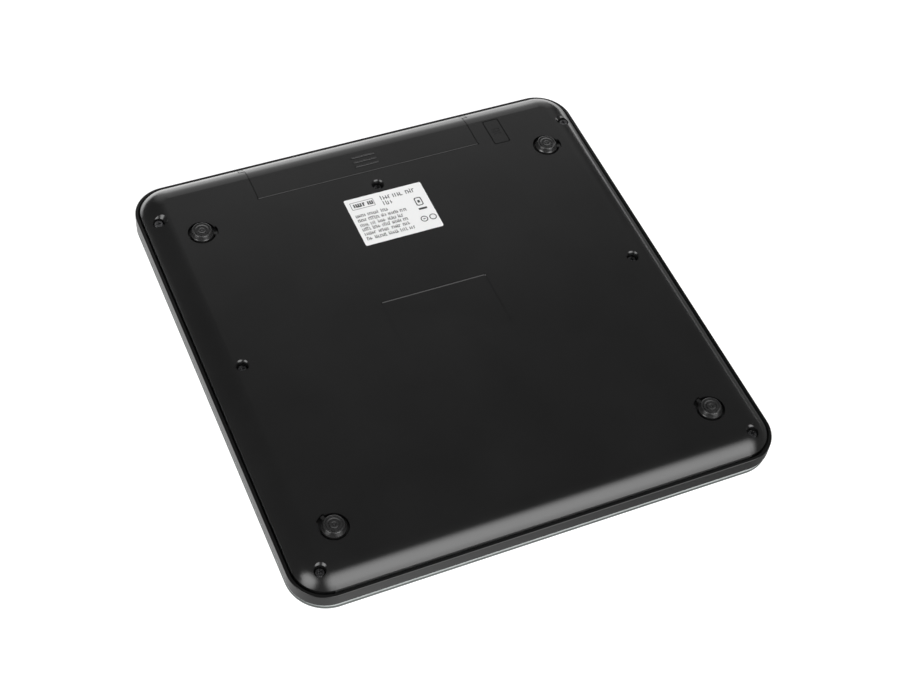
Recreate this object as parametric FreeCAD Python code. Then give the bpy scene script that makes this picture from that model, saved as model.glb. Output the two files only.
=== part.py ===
import FreeCAD, Part
import math
import os

# Flat digital kitchen scale, 230 x 240 mm, standing upright on four rubber feet.
# Frame: +Z up, Z = 0 at the underside of the feet, origin in the middle of the outline.
# -Y is the side that faces the user (display), +Y is the rear side (battery door).
# All sizes are in millimetres.

V = FreeCAD.Vector
X_AXIS = V(1, 0, 0)
Z_AXIS = V(0, 0, 1)

# ---------------------------------------------------------------- driving dimensions
WIDTH = 230.0
DEPTH = 240.0
HEIGHT = 19.6
CORNER_R = 17.0
GLASS_CORNER_R = 18.0
CLEARANCE = 0.3

# cutters run past the faces that they cut, and fused pieces reach into each other
PAST = 1.0
SINK = 0.5

# stack of levels, from the feet up
FOOT_PROUD = 2.0
SHELL_WALL = 1.8
RIM_Z = 8.8
GLASS_T = 4.0
ADHESIVE_T = 0.3
PLATE_T = 1.4
GLASS_Z = HEIGHT - GLASS_T
HOUSING_TOP = GLASS_Z - ADHESIVE_T
PLATE_Z = HOUSING_TOP - PLATE_T
FLOOR_Z = FOOT_PROUD + SHELL_WALL

# top housing skirt and the groove in which the bottom shell sits
SKIRT_WALL = 1.4
GROOVE = 1.0
RIM_ROUND = 0.35
GLASS_ROUND = 1.5

# bottom shell
SHELL_INSET = SKIRT_WALL + GROOVE
SHELL_TOP = 12.0
EDGE_R = 14.0
EDGE_WIDTH = 11.5
RIB_T = 1.2
RIB_H = 2.0
RIB_X = 60.0
RIB_Y = (-50.0, 40.0)
RIB_ENDS = (-92.0, 62.0)
PANEL_SIZE = (53.0, 31.0)
PANEL_Y = -2.5
PANEL_DEPTH = 0.35
PANEL_CORNER = 1.0
PANEL_SLOPE = 0.3

# shell screws
SCREW_SPOTS = [
    (-106.8, 94.2), (106.8, 94.2), (0.0, 82.4), (-98.0, 0.0),
    (98.0, 0.0), (-102.7, -109.4), (102.7, -109.4),
]
RECESS_R = 2.6
RECESS_CHAMFER = 0.6
RECESS_TOP = 6.2
CUP_WALL = 1.2
CUP_TOP = 7.4
BOSS_R = 2.5
PILOT_R = 1.2
PILOT_TOP = 13.0
SCREW_HEAD_R = 2.2
SCREW_HEAD_H = 1.6
SCREW_SHANK_R = 1.1
HEAD_ROUND = 0.4
CROSS_ARM = 1.1
CROSS_DEPTH = 0.6
TIP_RATIO = 0.3

# feet and load cells
FOOT_X = 90.0
FOOT_REAR_Y = 80.2
FOOT_FRONT_Y = -92.2
FOOT_HOLE_R = 6.7
FOOT_R = 5.5
FLANGE_R = 8.6
FLANGE_Z = FLOOR_Z + CLEARANCE
FLANGE_T = 1.2
FOOT_TIP_R = 3.0
FOOT_TIP_Z = 6.4
FOOT_TRAVEL = 0.5
PAD_R = 5.5
PAD_FACE_R = 4.5
PAD_T = 1.9
PAD_ROUND = 0.35
PAD_RINGS = (2.3, 3.7)
RING_HALF = 0.3
RING_DEPTH = 0.3
DIMPLE_R = 0.9
SLOT_R = 7.7
SLOT_SPAN = 42.0
SLOT_START_FRONT = 33.0
SLOT_START_REAR = 165.0
LUG_R = 7.3
LUG_SPAN = 14.0
LUG_PLAY = 2.5
LUG_Z = (2.4, 3.6)
CELL_PLATE = 24.0
CELL_T = 1.6
CELL_CORNER = 2.0
CELL_Z = FOOT_TIP_Z + FOOT_TRAVEL + 0.05
CELL_TOP = CELL_Z + CELL_T
TONGUE_W = 9.0
TONGUE_L = 15.0
CELL_SLOT = 1.2
GAUGE_SIZE = (6.0, 4.0)
GAUGE_T = 0.2
GAUGE_CORNER = 0.8
CARRIER_WALL = 1.4
CARRIER_LIP = 1.5
CARRIER_CHAMFER = 3.75
CARRIER_POCKET_R = 0.5
CARRIER_OPENING_R = 1.5
CARRIER_BOTTOM = 5.9
CARRIER_TOP = 11.5
RIB_RING_WALL = 1.5
CABLE_GATE = 3.0
CABLE_R = 0.8
CABLE_BEND = 8.0
CABLE_INSET = 6.0
CABLE_LANE = 69.0

# battery door
DOOR_HALF = 57.7
DOOR_Y = 92.0
DOOR_T = 1.2
DOOR_TOP = RIM_Z - CLEARANCE
RAIL_OUT = 60.5
RAIL_IN = 56.5
RAIL_Z = 3.5
RAIL_T = 1.0
GRIP_YS = (96.4, 99.3, 102.4)
GRIP_HALF = 6.0
GRIP_R = 0.45
DOOR_EASE = 0.2

# battery tray: two AAA cells in line along X
AAA_R = 5.25
AAA_L = 44.5
NUB_R = 1.9
NUB_L = 0.8
CONTACT_T = 0.4
CONTACT_W = 9.0
CAN_ROUND = 0.5
SPRING_WIRE_R = 0.35
SPRING_BASE_R = 3.9
SPRING_STEP = 0.5
SPRING_TURNS = 5
LINK_RATIO = 0.9
BAY_HALF = 48.0
BAY_Y = 99.8
BAY_HALF_Y = 5.6
BAY_WALL = 1.2
BAY_TOP = 14.1
BAY_ROOF = 0.9
TRAY_MARGIN = 2.0
AAA_Z = RAIL_Z + AAA_R
TAB_W = 3.0
TAB_Y = 91.4
TAB_PLAY = 0.1
WIRE_Z = 9.5
LEAD_R = 0.6
LEAD_BEND = 12.0
LEAD_INNER_X = 22.0
LEAD_CROSS_Y = (20.0, -20.0)

# unit button and its switch
BUTTON_X = -70.0
BUTTON_Y = 97.0
BUTTON_SIZE = (8.0, 16.0)
BUTTON_LIP = 1.2
BUTTON_LIP_T = 0.8
BUTTON_STEM_R = 2.0
BUTTON_CORNER = 1.2
BUTTON_GUIDE_WALL = 1.0
BUTTON_GROOVE = (4.0, 0.7)
BUTTON_GROOVE_DEPTH = 0.25
BUTTON_GROOVE_YS = (-1.6, 0.0, 1.6)
BUTTON_TOP = 5.1
SWITCH_SIZE = 6.0
SWITCH_Z = 5.7
PLUNGER_R = 1.7
PLUNGER_H = 1.3
PLUNGER_PLAY = 0.15
BUTTON_BOARD_Z = 8.9
BUTTON_BOARD_T = 1.0
BUTTON_BOARD = (12.0, 22.0)
BUTTON_BOARD_CORNER = 1.0
BUTTON_SCREW_PITCH = 17.0
BUTTON_LEAD_R = 0.7
BUTTON_LEAD_INSET = 1.5
BUTTON_LEAD_X = -34.0
BUTTON_LEAD_Y = (0.0, -40.0)

# display and main board
DISPLAY_Y = -88.0
WINDOW = (62.0, 30.0)
LCD = (60.0, 28.0)
LCD_Z = 13.0
LCD_T = 2.0
BOARD = (90.0, 44.0)
BOARD_Z = 8.9
BOARD_T = 1.2
BOARD_TOP = BOARD_Z + BOARD_T
BOARD_CORNER = 1.5
BOARD_HOLE_R = 1.1
CHIP_X = -15.0
CHIP_R = 6.0
CHIP_H = 1.4
CHIP_ROUND = 1.0
FRAME = (68.0, 36.0)
FRAME_CORNER = 1.5
FRAME_SEAT_PLAY = 0.3
WELL_MARGIN = 0.5
GUIDE_SIZE = (54.0, 19.0)
GUIDE_T = 2.1
GUIDE_CORNER = 1.0
GASKET_W = 2.5
ZEBRA_W = 2.0
ZEBRA_L = 56.0
ZEBRA_INSET = 2.0
BOARD_SCREW_X = 41.0
BOARD_SCREW_DY = 18.0
SMALL_BOSS_R = 2.3
SMALL_PILOT_R = 1.0
SMALL_HEAD_R = 1.8
SMALL_HEAD_H = 1.2
SMALL_SHANK_R = 0.85
SMALL_TIP_Z = 12.6
TOUCH_X = 39.5
TOUCH_R = 2.75
TOUCH_WIRE_R = 0.25
TOUCH_RINGS = 7
TOUCH_HOLE_R = 4.0

# label
LABEL_SIZE = (40.0, 30.0)
LABEL_Y = 62.25
LABEL_T = 0.12
LABEL_CORNER = 0.8

CORNERS = {
    "front_left": (-FOOT_X, FOOT_FRONT_Y, SLOT_START_FRONT),
    "front_right": (FOOT_X, FOOT_FRONT_Y, SLOT_START_FRONT),
    "rear_left": (-FOOT_X, FOOT_REAR_Y, SLOT_START_REAR),
    "rear_right": (FOOT_X, FOOT_REAR_Y, SLOT_START_REAR),
}
CORNER_CENTRES = [(cx, cy) for cx, cy, start in CORNERS.values()]


# ---------------------------------------------------------------- basic shapes
def box(x0, x1, y0, y1, z0, z1):
    """Box between two corners."""
    return Part.makeBox(x1 - x0, y1 - y0, z1 - z0, V(x0, y0, z0))


def block(cx, cy, size, z0, z1):
    """Box of size (x, y) centred on a point."""
    return box(cx - size[0] / 2, cx + size[0] / 2, cy - size[1] / 2, cy + size[1] / 2, z0, z1)


def disc(cx, cy, r, z0, z1):
    """Upright cylinder."""
    return Part.makeCylinder(r, z1 - z0, V(cx, cy, z0), Z_AXIS)


def rod(x0, x1, y, z, r):
    """Cylinder along X."""
    return Part.makeCylinder(r, x1 - x0, V(x0, y, z), X_AXIS)


def mirrored(near, far):
    """A span along X and its mirror image, each as its lower and upper end."""
    return [(-far, -near), (near, far)]


def is_upright(edge):
    """True for a straight edge along Z."""
    ends = edge.Vertexes
    return len(ends) == 2 and abs(ends[0].Z - ends[1].Z) > 0.01 and ends[0].X == ends[1].X


def edges_at(shape, z):
    """Edges that lie wholly at one height."""
    return [e for e in shape.Edges if all(abs(p.Z - z) < 1e-6 for p in e.Vertexes)]


def rounded(shape, r):
    """Rounds the four upright edges of a box."""
    return shape.makeFillet(r, [e for e in shape.Edges if is_upright(e)])


def slab(inset, z0, z1, corner=CORNER_R):
    """Plate with the outline of the whole scale, drawn in by inset."""
    size = (WIDTH - 2 * inset, DEPTH - 2 * inset)
    return rounded(block(0, 0, size, z0, z1), corner - inset)


def sector(cx, cy, r, start, span, z0, z1):
    """Upright pie slice from one angle over a span, in degrees."""
    piece = Part.makeCylinder(r, z1 - z0, V(0, 0, z0), Z_AXIS, span)
    piece.rotate(V(0, 0, 0), Z_AXIS, start)
    piece.translate(V(cx, cy, 0))
    return piece


def frame_ring(cx, cy, outer, inner, z0, z1):
    """Rectangular ring."""
    return block(cx, cy, outer, z0, z1).cut(block(cx, cy, inner, z0 - PAST, z1 + PAST))


def fused(shapes):
    """One solid from shapes that overlap or touch, without seams."""
    return shapes[0].multiFuse(shapes[1:]).removeSplitter()


def tube_path(points, r):
    """Wire of straight runs joined by tangent arcs of radius r."""
    edges = []
    start = points[0]
    for before, corner, after in zip(points, points[1:], points[2:]):
        into = (corner - before).normalize()
        out = (after - corner).normalize()
        cut = r * math.tan(into.getAngle(out) / 2)
        a = corner - into * cut
        b = corner + out * cut
        toward = (out - into).normalize()
        half = math.pi / 2 - into.getAngle(out) / 2
        middle = corner + toward * (r / math.sin(half) - r)
        edges.append(Part.LineSegment(start, a).toShape())
        edges.append(Part.Arc(a, middle, b).toShape())
        start = b
    edges.append(Part.LineSegment(start, points[-1]).toShape())
    return Part.Wire(edges)


def tube(points, wire_r, bend_r):
    """Round cable along a route."""
    path = tube_path(points, bend_r)
    direction = points[1] - points[0]
    circle = Part.Wire(Part.Circle(points[0], direction, wire_r).toShape())
    return path.makePipeShell([circle], True, False)


# ---------------------------------------------------------------- casing
def soft_form(inset, top):
    """Solid form of the bottom shell: flat underside with a soft rounded edge."""
    reach = SHELL_INSET - (EDGE_R - EDGE_WIDTH)
    bottom = FOOT_PROUD + inset
    form = slab(reach + inset, bottom, bottom + 2 * EDGE_R)
    form = form.makeFillet(EDGE_R - inset, edges_at(form, bottom))
    return form.common(slab(SHELL_INSET + inset, bottom, top))


def screw_cups():
    """Cups that hold the screw heads inside the shell."""
    reach = RECESS_R + CUP_WALL
    cups = [disc(x, y, reach, FOOT_PROUD, CUP_TOP) for x, y in SCREW_SPOTS]
    return [cup.common(soft_form(0, SHELL_TOP)) for cup in cups]


def edge_rise(x, y):
    """How far the soft edge has risen above the flat underside at a place."""
    beyond_x = abs(x) - (WIDTH / 2 - SHELL_INSET - EDGE_WIDTH)
    beyond_y = abs(y) - (DEPTH / 2 - SHELL_INSET - EDGE_WIDTH)
    beyond = max(beyond_x, beyond_y, 0.0)
    return EDGE_R - math.sqrt(EDGE_R ** 2 - beyond ** 2)


def countersink(x, y):
    """Sloped mouth of a screw recess, as deep below the curved surface as below the flat one."""
    inner_z = FOOT_PROUD + edge_rise(x, y) + RECESS_CHAMFER
    outer_r = RECESS_R + inner_z
    return Part.makeCone(outer_r, RECESS_R, inner_z, V(x, y, 0), Z_AXIS)


def screw_recesses():
    """Everything that is cut out of the shell for its screws."""
    mouths = [countersink(x, y) for x, y in SCREW_SPOTS]
    cuts = [disc(x, y, RECESS_R, 0, RECESS_TOP) for x, y in SCREW_SPOTS]
    holes = [disc(x, y, SCREW_SHANK_R + CLEARANCE, 0, CUP_TOP + PAST) for x, y in SCREW_SPOTS]
    return mouths + cuts + holes


def shell_ribs():
    """Low stiffening ribs on the inside of the floor."""
    top = FLOOR_Z + RIB_H
    ribs = []
    for x in (-RIB_X, RIB_X):
        ribs.append(box(x - RIB_T / 2, x + RIB_T / 2, *RIB_ENDS, FLOOR_Z - SINK, top))
    for y in RIB_Y:
        ribs.append(box(-FOOT_X, FOOT_X, y - RIB_T / 2, y + RIB_T / 2, FLOOR_Z - SINK, top))
    return ribs


def door_opening(gap):
    """Box that the battery door fills, wider by gap on each side."""
    half = DOOR_HALF + gap
    return box(-half, half, DOOR_Y - gap, DEPTH, 0, HEIGHT)


def shell_layer(outer, inner):
    """Skin of the bottom shell between two depths below its outer face."""
    return soft_form(outer, SHELL_TOP).cut(soft_form(inner, HEIGHT))


def door_surround():
    """Recess behind the door, and the thick sides that hold its rails."""
    depth = DOOR_T + CLEARANCE
    step_y = DOOR_Y - CLEARANCE - BAY_WALL
    back = shell_layer(depth, depth + BAY_WALL).common(door_opening(CLEARANCE + BAY_WALL))
    step = box(-RAIL_OUT, RAIL_OUT, step_y, DOOR_Y - CLEARANCE, 0, HEIGHT)
    front = shell_layer(0, depth + BAY_WALL).common(step)
    thick = shell_layer(0, 2 * SHELL_WALL + CLEARANCE)
    pieces = [back, front]
    for x0, x1 in mirrored(RAIL_IN - CLEARANCE - BAY_WALL, RAIL_OUT + CLEARANCE + BAY_WALL):
        pieces.append(thick.common(box(x0, x1, step_y, DEPTH, 0, HEIGHT)))
    return pieces


def door_cuts():
    """The door's own space: its outer skin and its two rail channels."""
    depth = DOOR_T + CLEARANCE
    skin = soft_form(0, HEIGHT).cut(soft_form(depth, HEIGHT))
    outer = skin.common(door_opening(CLEARANCE))
    cuts = [outer]
    low = RAIL_Z - CLEARANCE
    high = RAIL_Z + RAIL_T + CLEARANCE
    for x0, x1 in mirrored(RAIL_IN - CLEARANCE, RAIL_OUT + CLEARANCE):
        cuts.append(box(x0, x1, DOOR_Y - CLEARANCE, DEPTH, low, high))
    return cuts


def tray_walls():
    """Battery tray: four walls and a roof, open towards the door."""
    outer = (2 * (BAY_HALF + BAY_WALL), 2 * (BAY_HALF_Y + BAY_WALL))
    return block(0, BAY_Y, outer, RAIL_Z, BAY_TOP + BAY_ROOF)


def tray_cuts():
    """The space for the cells, and a slot for each contact's solder tab."""
    cuts = [block(0, BAY_Y, (2 * BAY_HALF, 2 * BAY_HALF_Y), 0, BAY_TOP)]
    for side in (-1, 1):
        middle = side * (BAY_HALF - CONTACT_T / 2)
        slot = (CONTACT_T + 2 * TAB_PLAY, 2 * (BAY_Y - TAB_Y))
        cuts.append(block(middle, BAY_Y - BAY_HALF_Y, slot, WIRE_Z - TAB_W / 2 - TAB_PLAY, BAY_TOP))
    return cuts


def foot_holes():
    """Round holes in which the feet float, each with an arc-shaped slot for the foot's lug."""
    holes = []
    for cx, cy, start in CORNERS.values():
        holes.append(disc(cx, cy, FOOT_HOLE_R, 0, FLOOR_Z + PAST))
        holes.append(sector(cx, cy, SLOT_R, start, SLOT_SPAN, 0, FLOOR_Z + PAST))
    return holes


def button_opening(gap):
    """Plan size of the unit button with a gap all round."""
    return (BUTTON_SIZE[0] + 2 * gap, BUTTON_SIZE[1] + 2 * gap)


def button_guide():
    """Wall around the button's lip."""
    inner = button_opening(BUTTON_LIP + CLEARANCE)
    outer = button_opening(BUTTON_LIP + CLEARANCE + BUTTON_GUIDE_WALL)
    return frame_ring(BUTTON_X, BUTTON_Y, outer, inner, FLOOR_Z - SINK, BUTTON_TOP)


def shallow_panel():
    """Cutter for the shallow panel in the middle of the underside, with sloped sides."""
    top = FOOT_PROUD + PANEL_DEPTH
    panel = rounded(block(0, PANEL_Y, PANEL_SIZE, 0, top), PANEL_CORNER)
    return panel.makeChamfer(PANEL_SLOPE, edges_at(panel, top))


def bottom_shell():
    """Black underside with its curved edge, cups, tray and openings."""
    shell = soft_form(0, SHELL_TOP).cut(soft_form(SHELL_WALL, HEIGHT))
    shell = shell.cut(door_opening(CLEARANCE))
    parts = [shell, tray_walls(), button_guide()] + door_surround() + screw_cups() + shell_ribs()
    shell = fused(parts)
    hole = block(BUTTON_X, BUTTON_Y, button_opening(CLEARANCE), 0, FLOOR_Z + CLEARANCE)
    hole = rounded(hole, BUTTON_CORNER + CLEARANCE)
    cuts = door_cuts() + tray_cuts() + screw_recesses() + foot_holes() + [hole, shallow_panel()]
    return shell.cut(cuts)


def door_ease():
    """Cutter that eases the door's front edge."""
    size = DOOR_EASE * math.sqrt(2)
    wedge = box(-DOOR_HALF - PAST, DOOR_HALF + PAST, -size / 2, size / 2, -size / 2, size / 2)
    wedge.rotate(V(0, 0, 0), X_AXIS, 45)
    wedge.translate(V(0, DOOR_Y, FOOT_PROUD))
    return wedge


def battery_door():
    """Door that follows the curved rear edge, with rails, legs and grip ridges."""
    form = soft_form(0, DOOR_TOP)
    skin = form.cut(soft_form(DOOR_T, HEIGHT)).common(door_opening(0))
    pieces = [skin]
    for x0, x1 in mirrored(RAIL_IN, DOOR_HALF):
        pieces.append(box(x0, x1, DOOR_Y, DEPTH, FOOT_PROUD, RAIL_Z + RAIL_T).common(form))
    for x0, x1 in mirrored(RAIL_IN, RAIL_OUT):
        pieces.append(box(x0, x1, DOOR_Y, DEPTH, RAIL_Z, RAIL_Z + RAIL_T).common(form))
    for y in GRIP_YS:
        pieces.append(rod(-GRIP_HALF, GRIP_HALF, y, FOOT_PROUD, GRIP_R))
    return fused(pieces).cut(door_ease())


def tray_window(margin):
    """Plan size of an opening that clears the battery tray by a margin."""
    return (2 * (BAY_HALF + margin), 2 * (BAY_HALF_Y + margin))


def top_housing():
    """Frame under the glass: plate, skirt, screw bosses and load cell seats."""
    form = slab(0, RIM_Z, HOUSING_TOP)
    form = form.makeFillet(RIM_ROUND, edges_at(form, RIM_Z))
    hollow = slab(SKIRT_WALL, RIM_Z - PAST, PLATE_Z)
    bosses = [disc(x, y, BOSS_R, CUP_TOP, PLATE_Z + SINK) for x, y in SCREW_SPOTS]
    bosses += [disc(x, y, SMALL_BOSS_R, z, PLATE_Z + SINK) for x, y, z in small_screw_spots()]
    seats = [cell_seat(cx, cy) for cx, cy in CORNER_CENTRES]
    housing = fused([form.cut(hollow)] + bosses + seats)
    pilots = [disc(x, y, PILOT_R, CUP_TOP - PAST, PILOT_TOP) for x, y in SCREW_SPOTS]
    pilots += [disc(x, y, SMALL_PILOT_R, z - PAST, PILOT_TOP) for x, y, z in small_screw_spots()]
    below = PLATE_Z - PAST
    windows = [block(0, BAY_Y, tray_window(TRAY_MARGIN), below, HEIGHT)]
    windows.append(block(0, DISPLAY_Y, WINDOW, below, HEIGHT))
    windows += [disc(x, DISPLAY_Y, TOUCH_HOLE_R, below, HEIGHT) for x in (-TOUCH_X, TOUCH_X)]
    gates = [cable_gate(cx, cy) for cx, cy in CORNER_CENTRES]
    return housing.cut(pilots + windows + gates)


def glass_platform():
    """Weighing platform: glass plate with rounded edges."""
    plate = slab(0, GLASS_Z, HEIGHT, GLASS_CORNER_R)
    return plate.makeFillet(GLASS_ROUND, edges_at(plate, GLASS_Z) + edges_at(plate, HEIGHT))


def platform_adhesive():
    """Tape that bonds the glass to the housing, open over the display and the tray."""
    tape = slab(SHELL_INSET, HOUSING_TOP, GLASS_Z)
    keys = (2 * (TOUCH_X + 2 * TOUCH_HOLE_R), FRAME[1])
    display = block(0, DISPLAY_Y, keys, HOUSING_TOP - PAST, HEIGHT)
    tray = block(0, BAY_Y, tray_window(TRAY_MARGIN + PAST), HOUSING_TOP - PAST, HEIGHT)
    return tape.cut([display, tray])


def rating_label():
    """Adhesive label on the underside."""
    return rounded(block(0, LABEL_Y, LABEL_SIZE, FOOT_PROUD - LABEL_T, FOOT_PROUD), LABEL_CORNER)


# ---------------------------------------------------------------- fasteners
def screw(x, y, z, head_r, head_h, shank_r, tip_z):
    """Cross-head screw, driven upwards: its head's face is at z."""
    head = disc(x, y, head_r, z, z + head_h)
    head = head.makeFillet(HEAD_ROUND, edges_at(head, z))
    arm = head_r * CROSS_ARM
    slot = arm / 4
    floor = z + head_h * CROSS_DEPTH
    cross = [block(x, y, size, z - PAST, floor) for size in ((arm, slot), (slot, arm))]
    neck = tip_z - shank_r
    shank = disc(x, y, shank_r, floor, neck)
    tip = Part.makeCone(shank_r, shank_r * TIP_RATIO, shank_r, V(x, y, neck), Z_AXIS)
    return fused([head.cut(cross), shank, tip])


def shell_screws():
    """Seven screws that hold the bottom shell to the housing."""
    z = RECESS_TOP - SCREW_HEAD_H
    sizes = (SCREW_HEAD_R, SCREW_HEAD_H, SCREW_SHANK_R, PILOT_TOP - SINK)
    return Part.Compound([screw(x, y, z, *sizes) for x, y in SCREW_SPOTS])


def board_screw_spots():
    """Screw places of the main board."""
    ys = (DISPLAY_Y - BOARD_SCREW_DY, DISPLAY_Y + BOARD_SCREW_DY)
    return [(x, y) for x in (-BOARD_SCREW_X, BOARD_SCREW_X) for y in ys]


def button_screw_spots():
    """Screw places of the button board."""
    half = BUTTON_SCREW_PITCH / 2
    return [(BUTTON_X, BUTTON_Y - half), (BUTTON_X, BUTTON_Y + half)]


def small_screw_spots():
    """Board bosses of the housing: place and height of the lower end."""
    main = [(x, y, BOARD_TOP) for x, y in board_screw_spots()]
    small = [(x, y, BUTTON_BOARD_Z + BUTTON_BOARD_T) for x, y in button_screw_spots()]
    return main + small


def small_screws(spots, board_z):
    """Screws that hold a board up against its bosses."""
    sizes = (SMALL_HEAD_R, SMALL_HEAD_H, SMALL_SHANK_R, SMALL_TIP_Z)
    return Part.Compound([screw(x, y, board_z - SMALL_HEAD_H, *sizes) for x, y in spots])


# ---------------------------------------------------------------- feet and load cells
def foot(cx, cy, start):
    """Plastic stud that floats in its hole and presses on the load cell."""
    body = disc(cx, cy, FOOT_R, PAD_T, FLANGE_Z + SINK)
    flange = disc(cx, cy, FLANGE_R, FLANGE_Z, FLANGE_Z + FLANGE_T)
    tip = disc(cx, cy, FOOT_TIP_R, FLANGE_Z, FOOT_TIP_Z)
    lug_start = start + SLOT_SPAN - LUG_SPAN - LUG_PLAY
    lug = sector(cx, cy, LUG_R, lug_start, LUG_SPAN, *LUG_Z)
    return fused([body, flange, tip, lug])


def foot_pad(cx, cy):
    """Rubber pad: tapered side, rounded face, ring grooves and a dimple in the middle."""
    pad = Part.makeCone(PAD_FACE_R, PAD_R, PAD_T, V(cx, cy, 0), Z_AXIS)
    pad = pad.makeFillet(PAD_ROUND, edges_at(pad, 0))
    cuts = [disc(cx, cy, DIMPLE_R, -PAST, RING_DEPTH)]
    for r in PAD_RINGS:
        ring = disc(cx, cy, r + RING_HALF, -PAST, RING_DEPTH)
        cuts.append(ring.cut(disc(cx, cy, r - RING_HALF, -PAST, PAST)))
    return pad.cut(cuts)


def load_cell(cx, cy):
    """Steel plate with a U-shaped slot that frees its middle tongue."""
    plate = rounded(block(cx, cy, (CELL_PLATE, CELL_PLATE), CELL_Z, CELL_TOP), CELL_CORNER)
    around = (TONGUE_W + 2 * CELL_SLOT, TONGUE_L + CELL_SLOT)
    slot = block(cx, cy + CELL_SLOT / 2, around, CELL_Z - PAST, CELL_TOP + PAST)
    tongue = block(cx, cy, (TONGUE_W, TONGUE_L), CELL_Z - PAST, CELL_TOP + PAST)
    return plate.cut(slot.cut(tongue))


def strain_gauge(cx, cy):
    """Thin gauge under its drop of sealant, on the root of the tongue."""
    drop = block(cx, cy - TONGUE_L / 4, GAUGE_SIZE, CELL_TOP, CELL_TOP + GAUGE_T)
    return rounded(drop, GAUGE_CORNER)


def cell_seat(cx, cy):
    """Square ring of the housing that the load cell's outer frame bears on."""
    inner = CELL_PLATE - 2 * RIB_RING_WALL
    outer = (CELL_PLATE, CELL_PLATE)
    return frame_ring(cx, cy, outer, (inner, inner), CELL_TOP, PLATE_Z + SINK)


def cable_gate(cx, cy):
    """Notch for the load cell cable, on the side towards the middle."""
    inward = -math.copysign(1.0, cx)
    reach = CELL_PLATE / 2 + CARRIER_WALL + PAST
    size = (reach, CABLE_GATE)
    return block(cx + inward * reach / 2, cy, size, CELL_TOP - CLEARANCE, CARRIER_TOP)


def load_cell_carrier(cx, cy):
    """Frame that clips round the seat and holds the load cell up from below."""
    inner = CELL_PLATE + CLEARANCE
    outer = inner + 2 * CARRIER_WALL
    ring = block(cx, cy, (outer, outer), CARRIER_BOTTOM, CARRIER_TOP)
    ring = ring.makeChamfer(CARRIER_CHAMFER, [e for e in ring.Edges if is_upright(e)])
    lip = CELL_PLATE - 2 * CARRIER_LIP
    pocket = rounded(block(cx, cy, (inner, inner), CELL_Z, HEIGHT), CARRIER_POCKET_R)
    opening = rounded(block(cx, cy, (lip, lip), 0, HEIGHT), CARRIER_OPENING_R)
    return ring.cut([pocket, opening, cable_gate(cx, cy)])


def load_cell_cable(cx, cy):
    """Bundle of fine wires from one load cell to the main board."""
    side = math.copysign(1.0, cx)
    start = V(side * (FOOT_X - CABLE_INSET), cy, WIRE_Z)
    board_edge = side * BOARD[0] / 2
    if cy < 0:
        return tube([start, V(board_edge, cy, WIRE_Z)], CABLE_R, CABLE_BEND)
    lane = side * CABLE_LANE
    entry = DISPLAY_Y + BOARD[1] / 2 - CABLE_INSET
    points = [start, V(lane, cy, WIRE_Z), V(lane, entry, WIRE_Z), V(board_edge, entry, WIRE_Z)]
    return tube(points, CABLE_R, CABLE_BEND)


# ---------------------------------------------------------------- battery parts
def aaa_cell(x0):
    """AAA cell along X, with its negative end at x0."""
    can = rod(x0, x0 + AAA_L - NUB_L, BAY_Y, AAA_Z, AAA_R)
    can = can.makeFillet(CAN_ROUND, [e for e in can.Edges if e.Curve.TypeId == "Part::GeomCircle"])
    nub = rod(x0 + AAA_L - NUB_L - SINK, x0 + AAA_L, BAY_Y, AAA_Z, NUB_R)
    return fused([can, nub])


def contact_plate(x):
    """Square contact with a solder tab that leads out of the tray."""
    plate = block(x, BAY_Y, (CONTACT_T, CONTACT_W), AAA_Z - CONTACT_W / 2, AAA_Z + CONTACT_W / 2)
    tab = box(x - CONTACT_T / 2, x + CONTACT_T / 2, TAB_Y, BAY_Y, WIRE_Z - TAB_W / 2, WIRE_Z + TAB_W / 2)
    return fused([plate, tab])


def coil(centre, axis, radii, pitch, wire_r, side):
    """Coil drawn as rings, joined by a short wire along one side."""
    rings = []
    for turn, r in enumerate(radii):
        rings.append(Part.makeTorus(r, wire_r, centre + axis * (pitch * turn), axis))
    for turn in range(len(radii) - 1):
        low = centre + axis * (pitch * turn) + side * radii[turn]
        high = centre + axis * (pitch * (turn + 1)) + side * radii[turn + 1]
        rings.append(Part.makeCylinder(wire_r * LINK_RATIO, (high - low).Length, low, high - low))
    return fused(rings)


def battery_spring_contact():
    """Contact with the cone spring that presses the cells together."""
    x = -BAY_HALF + CONTACT_T / 2
    start = x + CONTACT_T / 2 + SPRING_WIRE_R * LINK_RATIO
    end = BAY_HALF - CONTACT_T - 2 * AAA_L - SPRING_WIRE_R
    radii = [SPRING_BASE_R - SPRING_STEP * turn for turn in range(SPRING_TURNS)]
    pitch = (end - start) / (SPRING_TURNS - 1)
    spring = coil(V(start, BAY_Y, AAA_Z), X_AXIS, radii, pitch, SPRING_WIRE_R, Z_AXIS)
    return fused([contact_plate(x), spring])


def battery_lead(side):
    """Single wire from a battery contact to the main board."""
    x = side * (BAY_HALF - CONTACT_T / 2)
    board_y = DISPLAY_Y + BOARD[1] / 2
    inner = side * LEAD_INNER_X
    high_y, low_y = LEAD_CROSS_Y
    points = [V(x, TAB_Y, WIRE_Z), V(x, high_y, WIRE_Z), V(inner, low_y, WIRE_Z), V(inner, board_y, WIRE_Z)]
    return tube(points, LEAD_R, LEAD_BEND)


# ---------------------------------------------------------------- display and boards
def main_board():
    """Circuit board below the display."""
    board = block(0, DISPLAY_Y, BOARD, BOARD_Z, BOARD_TOP)
    holes = [disc(x, y, BOARD_HOLE_R, 0, HEIGHT) for x, y in board_screw_spots()]
    return rounded(board, BOARD_CORNER).cut(holes)


def controller_chip():
    """Chip on the board's underside, under a flat drop of black resin."""
    drop = disc(CHIP_X, DISPLAY_Y, CHIP_R, BOARD_Z - CHIP_H, BOARD_Z)
    return drop.makeFillet(CHIP_ROUND, edges_at(drop, BOARD_Z - CHIP_H))


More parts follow.
